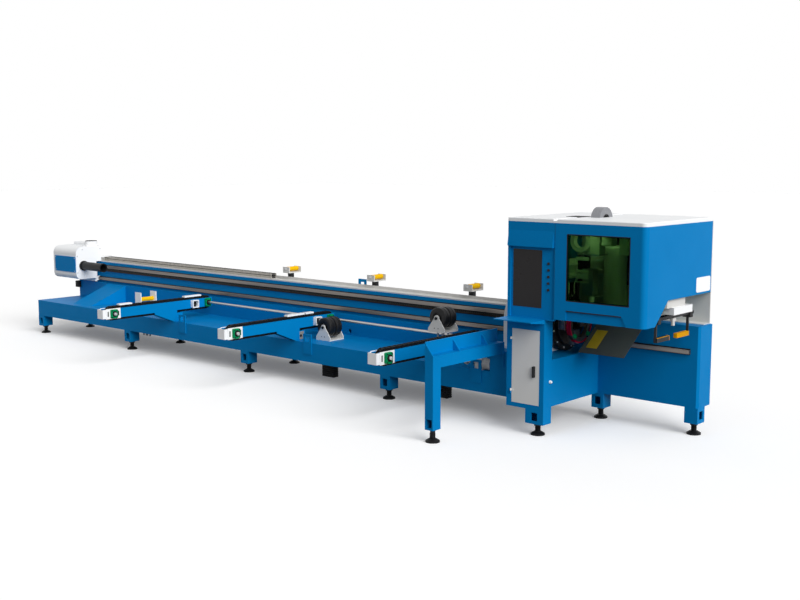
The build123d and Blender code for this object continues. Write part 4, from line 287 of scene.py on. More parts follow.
def turned(profile, centres, axis, sides, hollow=False):
    """Turned shells: each row of the profile, a radius and a distance along the axis, becomes a ring of sides
    about every centre. A hollow one has a closed profile that runs round the axis in a loop."""
    radius, along = np.asarray(profile, float).T
    turn = np.arange(sides) * 2 * np.pi / sides
    ring = np.zeros((len(radius), sides, 3))
    ring[..., axis] = along[:, None]
    ring[..., (axis + 1) % 3] = radius[:, None] * np.cos(turn)
    ring[..., (axis + 2) % 3] = radius[:, None] * np.sin(turn)
    ring = np.atleast_2d(np.asarray(centres, float))[:, None, None] + ring
    return loft(ring.swapaxes(1, 2), loop=True) if hollow else loft(ring)


def head(radius, height, way=1):
    """Profile of a screw or nut head: straight sides, and a rim drawn in over the last fifth of its height,
    along the axis or, with way -1, against it."""
    return [(radius, 0), (radius, 0.8 * way * height), (0.85 * radius, way * height)]


black_oxide_and_shade = mottled("black_oxide_steel_and_painted_shade", "#1E1F21", "#141517", 0.45, 0.4, 0.02)
dress(black_oxide_and_shade, "levelling_feet")
zinc = mottled("zinc_plated_steel", "#DCDDDE", "#C2C4C6", 0.38, 0.5, 0.03)
places = np.column_stack([FEET, np.zeros(len(FEET))])
ridge = THREAD_LOW + np.arange(2 * THREAD_TURNS + 1) * THREAD_PITCH / 2
crest = STUD_RADIUS + THREAD_DEPTH * (np.arange(2 * THREAD_TURNS + 1) % 2)
piece("foot_threads", "machine", "foot_steel", black_oxide_and_shade,
      turned(np.column_stack([crest, ridge]), places, Z, sides=20),
      turned([(LOCK_NUT, LOCK_LOW), (LOCK_NUT, LOCK_HIGH)], places[:-1], Z, sides=6), bend=30)
piece("foot_top_nuts", "machine", "foot_steel", zinc,
      turned([(TOP_NUT, TOP_LOW), (TOP_NUT, TOP_HIGH)], places[:-2], Z, sides=6), bend=30)


# Guide rails: hardened steel bars with a ball groove above and below, ground along their length and screwed to
# the bed's front. Thin black strips above and below them and under the rack are painted shade. Grinding leaves
# streaks that draw the shine out into a band.
RAIL_SECTION = np.array([(0, -18), (-9, -18), (-12, -12), (-16, -12), (-19, -18), (-26, -18), (-28, -16),
                         (-28, 16), (-26, 18), (-19, 18), (-16, 12), (-12, 12), (-9, 18), (0, 18)], float)
UPPER_RAIL, UPPER_RAIL_END, LOWER_RAIL, LOWER_RAIL_END = 863.0, 7600.0, 705.0, 9000.0
RAIL_SCREW_PITCH, RAIL_SCREW, RAIL_SCREW_HEIGHT, RAIL_FACE = 60.0, 5.0, 0.8, -28.0
RAIL_SHADE_LOW = ((2, -10, 829), (2, -10, 880), (2, -10, 804), (2, -10, 722), (2, -10, 680))
RAIL_SHADE_HIGH = ((7598, 0, 846), (7598, 0, 888), (7598, 0, 813), (8998, 0, 730), (8998, 0, 688))


def prism(section, axis, start, stop):
    """A section of two columns carried straight along an axis from start to stop, with flat ends."""
    ring = np.zeros((1, 2, len(section), 3))
    ring[..., axis] = np.array([start, stop])[:, None]
    ring[..., (axis + 1) % 3], ring[..., (axis + 2) % 3] = section[:, 0], section[:, 1]
    return loft(ring)


def ground_steel(name, colour, shade, roughness, streak):
    """Ground metal: streaks that are a metre long and streak metres wide, light and dark, with their gloss."""
    finish, tree, place = new_finish(name)
    drawn = add(tree, "ShaderNodeMapping", {"Vector": place, "Scale": (streak, 1.0, 1.0)})
    lines = add(tree, "ShaderNodeTexNoise", {"Vector": drawn.outputs[0], "Scale": 1 / streak, "Detail": 2.0})
    tone = add(tree, "ShaderNodeMix", {0: lines.outputs[0], 6: linear(colour), 7: linear(shade)}, data_type="RGBA")
    gloss = add(tree, "ShaderNodeMapRange", {0: lines.outputs[0], 3: roughness - 0.08, 4: roughness + 0.08})
    metal = add(tree, "ShaderNodeBsdfPrincipled", {"Base Color": tone.outputs[2], "Metallic": 1.0,
                                                   "Roughness": gloss.outputs[0]})
    add(tree, "ShaderNodeOutputMaterial", {0: metal.outputs[0]})
    return finish


rail_steel = ground_steel("ground_rail_steel", "#918A84", "#66605C", 0.42, 0.004)
rails = piece("profiled_guide_rails", "machine", "rail_steel", rail_steel,
              prism(RAIL_SECTION + (0, UPPER_RAIL), X, 0, UPPER_RAIL_END),
              prism(RAIL_SECTION + (0, LOWER_RAIL), X, 0, LOWER_RAIL_END), bend=20)
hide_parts("guide_rails")
upper = np.arange(RAIL_SCREW_PITCH / 2, UPPER_RAIL_END, RAIL_SCREW_PITCH)[:, None] * (1, 0, 0)
lower = np.arange(RAIL_SCREW_PITCH / 2, LOWER_RAIL_END, RAIL_SCREW_PITCH)[:, None] * (1, 0, 0)
spots = np.concatenate([upper + (0, RAIL_FACE, UPPER_RAIL), lower + (0, RAIL_FACE, LOWER_RAIL)])
piece("rail_screws", "machine", "rail_steel", rail_steel,
      turned([(RAIL_SCREW, 0), (RAIL_SCREW, -RAIL_SCREW_HEIGHT)], spots, Y, sides=8))
# Thin black strips above and below the rails and under the rack: painted shade.
piece("rail_shade_strips", "machine", "black_plastic", black_oxide_and_shade, blocks(RAIL_SHADE_LOW, RAIL_SHADE_HIGH, edge=1.5))


# Gear rack: a milled steel bar under the upper rail, coloured near black as painted shade under the rail, with
# teeth along its front that the carriage's pinion runs in. Real teeth are about 12 mm apart and are drawn at
# 24 mm, so that they show as teeth.
RACK_LOW, RACK_HIGH, RACK_FACE, RACK_ROOT, RACK_END, TOOTH_PITCH = 812.0, 830.0, -22.0, -14.0, 7600.0, 24.0
TOOTH_SHARES = np.array([0.06, 0.30, 0.56, 0.80])


def rack_teeth():
    """A bar along x whose front edge is a row of teeth: four points a tooth, two at the root and two at the face,
    carried from the bar's lower face to its upper, and a straight back."""
    tooth = np.arange(int(RACK_END / TOOTH_PITCH))[:, None] * TOOTH_PITCH
    x = (tooth + TOOTH_PITCH * TOOTH_SHARES).ravel()
    y = np.tile([RACK_ROOT, RACK_FACE, RACK_FACE, RACK_ROOT], len(tooth))
    ring = np.zeros((1, len(x), 4, 3))
    ring[..., 0] = x[:, None]
    ring[..., 1] = np.column_stack([y, y, 0 * y, 0 * y])
    ring[..., 2] = [RACK_LOW, RACK_HIGH, RACK_HIGH, RACK_LOW]
    return loft(ring)


# Near black steel for the rack: painted shade under the upper rail.
rack_shade_steel = ground_steel("gear_steel_painted_shade", "#3B3937", "#242322", 0.40, 0.004)
rack = piece("toothed_gear_rack", "machine", "rail_steel", rack_shade_steel, rack_teeth(), bend=20)
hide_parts("gear_rack")


# Cable trough on the bed's top: folded sheet strips with butt straps over their joints, powder coated pale grey.
# The straps are pop riveted.
STRAP_X, STRAP_LOW, STRAP_HIGH = np.array([1925.0, 3850.0, 5775.0]), (-30, 6.5, 924), (30, 9.5, 934)
RIVETS, RIVET = np.array([(-18, 6.5, 929), (18, 6.5, 929)]), 3.5
grey_coat = powder_coat("light_grey_powder_coat", "#D6D5D2", "#CAC9C6", 0.42)
dress(grey_coat, "cable_trough")
joints = STRAP_X[:, None] * (1, 0, 0)
piece("trough_straps", "machine", "grey_paint", grey_coat, blocks(joints + STRAP_LOW, joints + STRAP_HIGH, edge=0.6),
      turned([(RIVET, 0), (0.6 * RIVET, -1.5)], (joints[:, None] + RIVETS).reshape(-1, 3), Y, sides=8))


# Drag chain: two runs of moulded nylon links, one on the other, that carry the carriage's cables in the trough.
# Side plates are pale grey, and the snap-in bars across them black. Nylon is matt, with a dull sheen.
CHAIN_LEFT, CHAIN_RIGHT, LINK_PITCH, LINK_LENGTH = 410.0, 3750.0, 40.0, 47.0
CHAIN_RUNS, LINK_HEIGHT, LINK_STEP = (926.5, 957.5), 25.0, 1.5
PLATE_FRONTS, LINK_PLATE = (104.0, 173.0), 6.0
BAR_START, BAR_LENGTH, BAR_FRONT, BAR_BACK, BAR_HEIGHT, BAR_LIFT = 9.0, 22.0, 109.0, 174.0, 5.0, 1.0
black_nylon_and_shade = mottled("black_nylon_and_painted_shade", "#1C1D1F", "#131416", 0.55, 0.0, 0.03)
grey_nylon = mottled("moulded_grey_nylon", "#B9B5AE", "#A5A19A", 0.55, 0.0, 0.05)
link = np.arange(CHAIN_LEFT, CHAIN_RIGHT - LINK_LENGTH, LINK_PITCH)
step = LINK_STEP * (np.arange(len(link)) % 2)
corners = [np.column_stack([link, y + way * step, 0 * link + z])
           for z in CHAIN_RUNS for y, way in zip(PLATE_FRONTS, (1, -1))]
corners = np.concatenate(corners)
crossings = [np.column_stack([link + BAR_START, 0 * link + BAR_FRONT, 0 * link + z])
             for run in CHAIN_RUNS for z in (run + BAR_LIFT, run + LINK_HEIGHT - BAR_HEIGHT)]
crossings = np.concatenate(crossings)
plates = piece("drag_chain_links", None, "black_plastic", grey_nylon,
               blocks(corners, corners + (LINK_LENGTH, LINK_PLATE, LINK_HEIGHT), edge=2.9))
bars = piece("drag_chain_bars", None, "black_plastic", black_nylon_and_shade,
             blocks(crossings, crossings + (BAR_LENGTH, BAR_BACK - BAR_FRONT, BAR_HEIGHT), edge=1.5))
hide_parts("drag_chain")
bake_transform(plates)
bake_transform(bars)


# Carriage: a folded sheet housing over the rear chuck's drive, powder coated white, on a steel plate that
# runs on the rails. Its front has a screwed blue cover, its top a rubber lined hose duct.
FACE_SCREWS = np.array([(490, -281, 1104), (490, -12, 1104), (490, -361, 1019), (490, -362, 802)], float)
COVER_SCREWS = np.array([(18, -386, 823), (462, -386, 823), (18, -386, 993), (462, -386, 993)], float)
DUCT_PLACE, THROAT_SHADE_DISC = (395, -83, 0), [(66, 1160), (66, 1201), (8, 1194)]
THROAT_LINER = [(65, 1162), (76, 1199), (78, 1201), (78, 1203), (64, 1203)]
white_coat = powder_coat("white_powder_coat", "#F2F3F4", "#EBEDEF", 0.40)
dress(white_coat, "carriage_plate", "carriage_housing")
dress(blue_coat, "carriage_side_cover")
piece("carriage_screws", "carriage", "chain_steel", zinc, turned(head(radius=9, height=5), FACE_SCREWS, X, sides=12),
      turned(head(radius=6, height=3, way=-1), COVER_SCREWS, Y, sides=12))
# A black disc fills the duct's opening as painted shade inside it; the ring round it is the rubber liner.
piece("duct_throat", "carriage", "black_plastic", black_rubber_and_shade, turned(THROAT_SHADE_DISC, [DUCT_PLACE], Z, sides=32),
      turned(THROAT_LINER, [DUCT_PLACE], Z, sides=32, hollow=True))


# Rear spindle: a turned steel nose that carries the tube's far end, painted satin black.
# Socket screws stand in its flange.
AXIS_Y, AXIS_Z = -270.0, 890.0
FLANGE_FACE, FLANGE_SCREWS, SCREW_CIRCLE = 515.0, 8, 59.0


def circle(count, x, radius):
    """Places evenly round the tube's axis at that x, the first half a step from the y direction."""
    turn = (np.arange(count) + 0.5) * 2 * np.pi / count
    return np.column_stack([np.full(count, x), AXIS_Y + radius * np.cos(turn), AXIS_Z + radius * np.sin(turn)])


black_paint = mottled("satin_black_paint", "#1A1B1D", "#141517", 0.42, 0.0, 0.15)
dress(black_paint, "rear_spindle")
piece("spindle_screws", "rear_spindle_body", "chain_steel", black_oxide_and_shade,
      turned(head(radius=4, height=4), circle(FLANGE_SCREWS, FLANGE_FACE, SCREW_CIRCLE), X, sides=8))


# Loader arms: box beams on brackets. White end caps, take-up plates and chain pads are sheet and nylon, and the
# bearing blocks are cast and enamelled green, each with a steel bearing ring and four bolts. A short stub of square
# tube on each beam's right has a white sleeve.
ARMS, ARM_Z, FRONT_AXLE, REAR_AXLE = np.array([2870.2, 4905.3, 6890.6]), 612.0, -1480.0, -183.0
BLOCK_FACES = ((FRONT_AXLE, 84.0), (REAR_AXLE, 78.0))
BEARING = np.array([(33, 0), (30, 9), (21, 9), (17, 0)], float)
AXLE_END = np.array([(15.5, -2), (15.5, 23), (13, 26)], float)
BLOCK_BOLTS, BLOCK_BOLT = np.array([(0, y, z) for y in (-29, 29) for z in (-36, 36)], float), 7.0
SLOT_PLACES, SLOT_X, SLOT_HALF = (-1547.0, -1414.0), 56.5, (0.5, 7.0, 27.0)
SLEEVE_MIDDLE, SLEEVE_OUTER, SLEEVE_INNER, SLEEVE_CORNER = (-379.5, ARM_Z), (43.6, 43.6), (35.0, 35.0), 5
SLEEVE_REACH, SLEEVE_SHADE = np.array([50.4, 93.0, 93.0, 50.4]), ((51, -417, 574), (54, -342, 650))
dress(blue_coat, "loader_beams")
dress(white_coat, "loader_end_plates")
green_enamel = powder_coat("green_enamel", "#00935C", "#00854F", 0.30)
dress(green_enamel, "bearing_blocks")
arms = ARMS[:, None] * (1, 0, 0)
eyes, bolts, axles, slots = [], [], [], []
for side in (-1, 1):
    for axle, face in BLOCK_FACES:
        middle = arms + (side * face, axle, ARM_Z)
        eyes.append(turned(BEARING * (1, side), middle, X, sides=24, hollow=True))
        spots = (middle[:, None] + BLOCK_BOLTS).reshape(-1, 3)
        bolts.append(turned(head(BLOCK_BOLT, height=6, way=side), spots, X, sides=6))
    middle = arms + (side * BLOCK_FACES[0][1], FRONT_AXLE, ARM_Z)
    axles.append(turned(AXLE_END * (1, side), middle, X, sides=20))
    for y in SLOT_PLACES:
        middle = arms + (side * SLOT_X, y, ARM_Z)
        slots.append(blocks(middle - SLOT_HALF, middle + SLOT_HALF, edge=0.4))
piece("bearing_rings", "machine", "chain_steel", black_oxide_and_shade, *eyes)
piece("bearing_bolts", "machine", "chain_steel", black_oxide_and_shade, *bolts)
piece("front_axle_ends", "front_sprocket_set", "rail_steel", zinc, *axles)
# Thin black sheets on the take-up plates stand for the slots: painted shade in them.
piece("take_up_slot_shade", "machine", "black_plastic", black_nylon_and_shade, *slots)
wide, narrow = (outline(half, SLEEVE_CORNER) + SLEEVE_MIDDLE for half in (SLEEVE_OUTER, SLEEVE_INNER))
ring = np.zeros((len(ARMS), 4, 12, 3))
ring[..., 1:] = np.stack([wide, wide, narrow, narrow])
ring[..., 0] = (ARMS[:, None] + SLEEVE_REACH)[..., None]
piece("stub_sleeves", "machine", "white_paint", white_coat, loft(ring, loop=True))
# A black plate inside each sleeve: painted shade in the tube's hollow.
lows, highs = (arms + corner for corner in SLEEVE_SHADE)
piece("stub_shade_plates", "machine", "black_plastic", black_nylon_and_shade, blocks(lows, highs, edge=1))


# Loader chains: roller chain in a loop over each arm's two sprockets, oiled steel, dark with a dull shine.
# Each link is two side plates and a roller.
CHAIN_LINE, LINKS, PLATE_HALF, PLATE_SIDES = 64.3, 94, np.array([20.5, 2.0, 13.4]), (18.0, 22.5)
ROLLER, ROLLER_PLACE = [(9.5, -16), (9.5, 16)], (-16, 0, 0)


def chain_line(count, reach, radius):
    """Places and headings along a loop of two straight runs of that reach and two half turns: the distance along
    half of it gives the run or the turn, and the other half is the same turned by half a circle."""
    half = reach + np.pi * radius
    lap, rest = np.divmod((np.arange(count) + 0.5) * 2 * half / count, half)
    angle = np.maximum(rest - reach, 0) / radius
    place = np.column_stack([np.minimum(rest, reach) - reach / 2 + radius * np.sin(angle), radius * np.cos(angle)])
    heading = np.column_stack([np.cos(angle), -np.sin(angle)])
    sign = (1 - 2 * lap)[:, None]
    return place * sign, heading * sign


def strung(shell, x, places, headings):
    """Copies of a shell on a line in the y-z plane: its x goes along each heading, its y across and its z out."""
    points, faces = shell
    ahead, out = headings[:, None], np.stack([-headings[:, 1], headings[:, 0]], axis=-1)[:, None]
    flat = places[:, None] + points[None, :, :1] * ahead + points[None, :, 2:] * out
    across = np.broadcast_to(x + points[:, 1], flat.shape[:2])[..., None]
    first = np.arange(len(places))[:, None, None] * len(points)
    return (np.concatenate([across, flat], axis=-1).reshape(-1, 3),
            [(kind + first).reshape(-1, kind.shape[1]) for kind in faces])


chain_steel = mottled("oiled_chain_steel", "#262524", "#161616", 0.40, 0.5, 0.012)
places, headings = chain_line(LINKS, REAR_AXLE - FRONT_AXLE, CHAIN_LINE)
places = places + ((FRONT_AXLE + REAR_AXLE) / 2, ARM_Z)
shells = []
for x in ARMS:
    shells.append(strung(turned(ROLLER, [ROLLER_PLACE], Y, sides=8), x, places, headings))
    for first, out in enumerate(PLATE_SIDES):
        for middle in ((0, -out, 0), (0, out, 0)):
            plate = blocks(middle - PLATE_HALF, middle + PLATE_HALF, edge=1.5)
            shells.append(strung(plate, x, places[first::2], headings[first::2]))
chains = piece("loader_chain_links", "machine", "chain_steel", chain_steel, *shells)
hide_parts("loader_chains")


# Loader drive: a ground shaft through the three arms, and a geared motor at its right end with cooling fins.
# The motor is painted pale grey, and the shaft stands in pillow blocks of cast iron.
PILLOW_LOW, PILLOW_HIGH = (32.6, -640, 440), (36, -545, 522)
PILLOW_EYE, PILLOW_EYE_PLACE = [(15, 0), (15, 1.5)], (36, -590, 478)
FIN, FIN_PLACES = [(40, -1.5), (48, -1.5), (48, 1.5), (40, 1.5)], np.arange(7346.0, 7416.0, 9.0)
MOTOR_PLACE = (0, -630, 490)
shaft_steel = ground_steel("ground_shaft_steel", "#D2CDC9", "#A8A39F", 0.40, 0.006)
dress(shaft_steel, "drive_shaft", "front_sprockets")
dress(grey_coat, "gear_motor")
cast_iron = mottled("grey_cast_iron", "#9A958E", "#85807A", 0.55, 0.2, 0.02)
inner = arms[1:]
piece("pillow_faces", "machine", "grey_paint", cast_iron, blocks(inner + PILLOW_LOW, inner + PILLOW_HIGH, edge=1.6))
piece("pillow_eyes", "machine", "black_plastic", black_oxide_and_shade,
      turned(PILLOW_EYE, inner + PILLOW_EYE_PLACE, X, sides=16))
piece("motor_fins", "machine", "grey_paint", grey_coat,
      turned(FIN, FIN_PLACES[:, None] * (1, 0, 0) + MOTOR_PLACE, X, sides=28, hollow=True))


# Tube supports on the deck: two twin wheels and one roller, each on a lift that slides in guides under the deck.
# Wheel brackets are pale grey plate with an axle nut, the roller's fork is white, and black folded bellows
# cover the guides.
WHEELS = ((5147.5, 569.0), (6655.0, 811.0))
TYRE_PLACES, WHEEL_Y, BRACKET_FACE = (-418.0, -326.0), -372.0, -473.0
TYRE = [(54, -41), (84, -42), (93, -39), (98.5, -33), (100, -24), (100, -4), (97, -3), (97, 3), (100, 4),
        (100, 24), (98.5, 33), (93, 39), (84, 42), (54, 41)]
HUB = [(12, -41), (20, -40), (22, -30), (50, -28), (55, -34), (55, 34), (50, 28), (22, 30), (20, 40), (12, 41)]
AXLE_NUT, BRACKET_BOLT = [(15, 0), (15, -12)], [(5, 0), (5, -1.5)]
BRACKET_BOLTS = np.array([(-22, 0, -95), (22, 0, -95)])
GUIDES = ((5147.5, 45.0), (6655.0, 45.0), (1980.0, 303.0))
GUIDE_HALF, GUIDE_CORNER, GUIDE_TOP = np.array([80.0, 35.0]), 4, 423.0
FOLD_PITCH, FOLD_WIDTHS, FOLD_STEPS = 21.0, (0.0, 7.0, 0.0, -1.0), np.array([-1, 0, 1, 0])
pale_plate = powder_coat("pale_grey_powder_coat", "#D9D9D7", "#CFCFCD", 0.42)
dress(pale_plate, "wheel_1_bracket", "wheel_2_bracket")
dress(white_coat, "roller_lift_frame")
dress(black_nylon_and_shade, "lift_guides")
urethane = powder_coat("yellow_urethane", "#F0BE14", "#E2AE0C", 0.45)
dress(urethane, "lift_roller")
tyre_rubber = mottled("moulded_tyre_rubber", "#1D1D1F", "#131314", 0.38, 0.0, 0.01)
for number, (x, z) in enumerate(WHEELS, 1):
    middles = [(x, y, z) for y in TYRE_PLACES]
    wheel = piece(f"twin_tyre_{number}", f"support_wheel_{number}", "tyre_rubber", tyre_rubber,
                  turned(TYRE, middles, Y, sides=48, hollow=True), turned(HUB, middles, Y, sides=32), bend=30)
    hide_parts(f"wheel_{number}")
    axle = np.array([(x, BRACKET_FACE, z)])
    piece(f"wheel_{number}_axle_nut", f"wheel_lift_{number}", "chain_steel", black_oxide_and_shade,
          turned(AXLE_NUT, axle, Y, sides=6), turned(BRACKET_BOLT, axle + BRACKET_BOLTS, Y, sides=10))
folds = []
for x, low in GUIDES:
    heights = np.arange(low + FOLD_PITCH / 2, GUIDE_TOP - FOLD_PITCH / 2, FOLD_PITCH)
    ring = np.zeros((len(heights), 4, 12, 3))
    flat = np.stack([outline(GUIDE_HALF + wide, GUIDE_CORNER + wide) for wide in FOLD_WIDTHS])
    ring[..., :2] = flat + (x, WHEEL_Y)
    ring[..., 2] = (heights[:, None] + FOLD_PITCH / 2 * FOLD_STEPS)[..., None]
    folds.append(loft(ring, loop=True))
piece("guide_bellows", "machine", "black_plastic", black_nylon_and_shade, *folds, bend=25)


# Rear roller stands on the bed's back edge: black posts, pale grey forks and yellow urethane rollers.
# Zinc plated nuts hold the roller axles in the forks.
STANDS, STAND_FRONT, STAND_BACK, STAND_AXLE = np.array([3940.0, 5247.0, 6546.0]), 140.0, 325.0, 1044.0
FRONT_NUT, BACK_NUT = [(11, 0), (11, -8)], [(11, 0), (11, 6)]
dress(black_paint, "rear_stand_posts")
dress(pale_plate, "rear_stand_forks")
dress(urethane, "rear_roller_1", "rear_roller_2", "rear_roller_3")
across = STANDS[:, None] * (1, 0, 0)
piece("stand_axle_nuts", "machine", "chain_steel", zinc,
      turned(FRONT_NUT, across + (0, STAND_FRONT, STAND_AXLE), Y, sides=6),
      turned(BACK_NUT, across + (0, STAND_BACK, STAND_AXLE), Y, sides=6))


# Loading end gate: a welded tube portal with a stop plate, bolted to the pedestal, in the frame's blue.
# Bolts hold the stop plate to the beam.
STOP_BOLTS = np.array([(7500, y, z) for y in (-1560, -1330, -1100, -870, -720) for z in (640, 694)], float)
dress(blue_coat, "end_gate")
piece("stop_plate_bolts", "machine", "chain_steel", zinc,
      turned(head(radius=9, height=6, way=-1), STOP_BOLTS, X, sides=6))


# Front chuck: a white cast housing, a black steel rotor and four ground jaws. A jaw carrier ring stands before
# them, with crimson enamelled guards on its rim and green enamelled clamp cylinders between the guards.
CARRIER = [(128, 8062), (166, 8062), (166, 8100), (162, 8104), (131, 8104), (128, 8101)]
CARRIER_FACE, CLAMP_CIRCLE, ROTOR_FACE, ROTOR_CIRCLE = 8104.0, 147.0, 7970.0, 228.0
CLAMPS, ROTOR_SCREWS = 4, 12
GUARDS, GUARD_SPAN, GUARD_STEPS = (0, 90, 180, 270), 64.0, 14
GUARD_RADII, GUARD_PLACES = np.array([164, 174, 174, 164]), np.array([8066, 8066, 8107, 8107])
dress(white_coat, "front_chuck_housing")
dress(black_paint, "front_chuck_rotor")
jaw_steel = ground_steel("ground_jaw_steel", "#A7A39F", "#7E7B78", 0.34, 0.01)
dress(jaw_steel, "front_jaws")
gunmetal = mottled("phosphated_steel", "#4A4A4C", "#38383A", 0.42, 0.6, 0.03)
crimson = powder_coat("crimson_enamel", "#C4123F", "#B00E36", 0.30)


def guards():
    """Curved bars about the tube's axis: a rectangle of two radii and two places along the axis, carried round
    each middle angle over the span."""
    turn = np.radians(np.array(GUARDS)[:, None] + np.linspace(-GUARD_SPAN / 2, GUARD_SPAN / 2, GUARD_STEPS))
    ring = np.zeros(turn.shape + (4, 3))
    ring[..., 0] = GUARD_PLACES
    ring[..., 1] = AXIS_Y + GUARD_RADII * np.cos(turn)[..., None]
    ring[..., 2] = AXIS_Z + GUARD_RADII * np.sin(turn)[..., None]
    return loft(ring)


piece("jaw_carrier", "front_chuck", "chain_steel", gunmetal,
      turned(CARRIER, [(0, AXIS_Y, AXIS_Z)], X, sides=56, hollow=True))
piece("jaw_guards", "front_chuck", "chain_steel", crimson, guards())
spots = circle(CLAMPS, CARRIER_FACE, CLAMP_CIRCLE)
piece("clamp_cylinders", "front_chuck", "green_paint", green_enamel,
      turned(head(radius=19, height=16), spots, X, sides=20), turned(head(radius=7, height=22), spots, X, sides=6))
piece("rotor_screws", "front_chuck", "chain_steel", zinc,
      turned(head(radius=9, height=7), circle(ROTOR_SCREWS, ROTOR_FACE, ROTOR_CIRCLE), X, sides=6))


# Cutting head: a grey cross beam, a black slide and an aluminium head with a tapered nozzle. On the slide
# stand the lift motor and a hose loop on a bracket, and a collar plate hangs on the head above its nozzle.
BRACKET = ((8100, -345, 1485), (8310, -195, 1497))
MOTOR_LOWS = ((8198, -322, 1497), (8203, -317, 1508), (8200, -320, 1654), (8300, -292, 1662))
MOTOR_HIGHS = ((8304, -218, 1509), (8299, -223, 1655), (8302, -220, 1690), (8322, -248, 1684))
LOOP_PLACE, LOOP = (8094, -270, 1600), [(62, -26), (97, -26), (103, -20), (103, 20), (97, 26), (62, 26)]
COVER_LOWS = ((8097, -361, 1250), (8112, -361, 1440), (8112, -361, 1336), (8112, -361, 1250), (8112, -361, 1282))
COVER_HIGHS = ((8112, -355, 1470), (8225, -355, 1470), (8225, -355, 1360), (8225, -355, 1262), (8225, -355, 1330))
COLLAR = ((8128, -318, 1133), (8290, -222, 1142))
aluminium = ground_steel("machined_aluminium", "#C4C6C9", "#A9ACB0", 0.34, 0.006)
dress(grey_coat, "head_beam")
dress(black_paint, "head_slide")
dress(aluminium, "cutting_head")
piece("lift_motor_bracket", "cross_slide", "finger_aluminium", aluminium, blocks(*BRACKET, edge=2))
piece("lift_motor", "cross_slide", "grey_paint", grey_coat, blocks(MOTOR_LOWS, MOTOR_HIGHS, edge=4))
piece("hose_loop", "cross_slide", "grey_paint", grey_coat, turned(LOOP, [LOOP_PLACE], Y, sides=40, hollow=True))
piece("slide_cover", "cross_slide", "grey_paint", grey_coat, blocks(COVER_LOWS, COVER_HIGHS, edge=1.5))
piece("head_collar", "cutting_head_body", "finger_aluminium", aluminium, blocks(*COLLAR, edge=2))


# Cabin: folded blue sheet with a white bare sign plate on its right side, white roof covers and a screwed grey
# rear panel. Black strips in the roof's slot and along the top of the skirt's recess are painted shade.
SIGN_MIDDLE, SIGN_HALF, SIGN_CORNER, SIGN_REACH = (81.5, 1268.5), (123.5, 61.5), 16.0, (9049.0, 9053.0)
SEAM = ((8226, -881, 1004), (8228, -879, 1780))
SKIRT_RECESS_SHADE = ((8340, -881.5, 1074), (8846, -879, 1082))
ROOF_SLOT_SHADE = ((8100, -530, 1813), (8246, -380, 1818))
REAR_SCREWS = [(x, 235, z) for x in (8250, 8450, 8650, 8850, 9020) for z in (960, 1230, 1500, 1750)]
dress(blue_coat, "cabin_shell")
dress(white_coat, "roof_covers")
dress(pale_plate, "rear_panel")
sign_white = powder_coat("white_sign_enamel", "#F6F7F8", "#F0F2F4", 0.25)
seam_shade = mottled("shaded_sheet_seam", "#04304C", "#042943", 0.6, 0.0, 0.2)
piece("side_sign_plate", "machine", "white_paint", sign_white,
      prism(outline(SIGN_HALF, SIGN_CORNER) + SIGN_MIDDLE, X, *SIGN_REACH))
piece("cabin_seam", "machine", "blue_paint", seam_shade, blocks(*SEAM, edge=0.5))
# Black strips at the top of the skirt's recess and in the roof's slot: painted shade.
piece("skirt_recess_shade", "machine", "black_plastic", black_rubber_and_shade, blocks(*SKIRT_RECESS_SHADE, edge=1))
piece("roof_slot_shade", "machine", "black_plastic", black_rubber_and_shade, blocks(*ROOF_SLOT_SHADE, edge=2))
piece("panel_screws", "machine", "chain_steel", zinc, turned(head(radius=7, height=3), REAR_SCREWS, Y, sides=10))


# Inside the cabin: an extraction duct, work lamps and a lit LED strip under the roof. Black rubber strips hang
# before the rear panel and beside the chuck, every other one a step behind, against stray laser light.
# The LED chips show as bands about 16 mm apart in the white diffuser.
AIR_DUCT, AIR_DUCT_PLACE = [(100, 923), (100, 1528), (88, 1540)], (8225, 80, 0)
LAMPS = ((8305, -300, 1570), (8470, -290, 1500)), ((8405, -210, 1784), (8560, -250, 1784))
REAR_STRIPS, REAR_STRIP, REAR_PLACE = np.arange(8130.0, 9000.0, 74.0), (78, 4, 588), (0, 194, 1192)
SIDE_X, SIDE_STRIPS, SIDE_STRIP, SIDE_TOP = 7766, np.arange(-508, 220, 43), (4, 45), 1196.0
OVER_CHUCK, BESIDE_CHUCK, CHUCK_EDGE = 1134, 930, -40
STRIP_STEP = 5.0
LED, LED_BANDS, LED_LOW, LED_HIGH = ((8236, -690, 1772), (8290, -60, 1783)), 20.0, 9.0, 13.0
piece("extraction_duct", "machine", "grey_paint", grey_coat, turned(AIR_DUCT, [AIR_DUCT_PLACE], Z, sides=40))
piece("work_lamps", "machine", "grey_paint", grey_coat, blocks(*LAMPS, edge=5))
behind = STRIP_STEP * (np.arange(len(REAR_STRIPS)) % 2)
lows = np.column_stack([REAR_STRIPS, behind, 0 * behind]) + REAR_PLACE
piece("laser_curtain", "machine", "black_plastic", black_rubber_and_shade, blocks(lows, lows + REAR_STRIP, edge=1.5))
behind = STRIP_STEP * (np.arange(len(SIDE_STRIPS)) % 2)
bottom = np.where(SIDE_STRIPS < CHUCK_EDGE, OVER_CHUCK, BESIDE_CHUCK)
lows = np.column_stack([SIDE_X + behind, SIDE_STRIPS, bottom])
highs = np.column_stack([lows[:, :2] + SIDE_STRIP, np.full(len(lows), SIDE_TOP)])
piece("strip_curtain", "machine", "black_plastic", black_rubber_and_shade, blocks(lows, highs, edge=1.5))
led_light, tree, place = new_finish("led_diffuser")
chips = add(tree, "ShaderNodeTexWave", {"Vector": place, "Scale": LED_BANDS}, bands_direction="Y")
level = add(tree, "ShaderNodeMapRange", {0: chips.outputs["Fac"], 3: LED_LOW, 4: LED_HIGH})
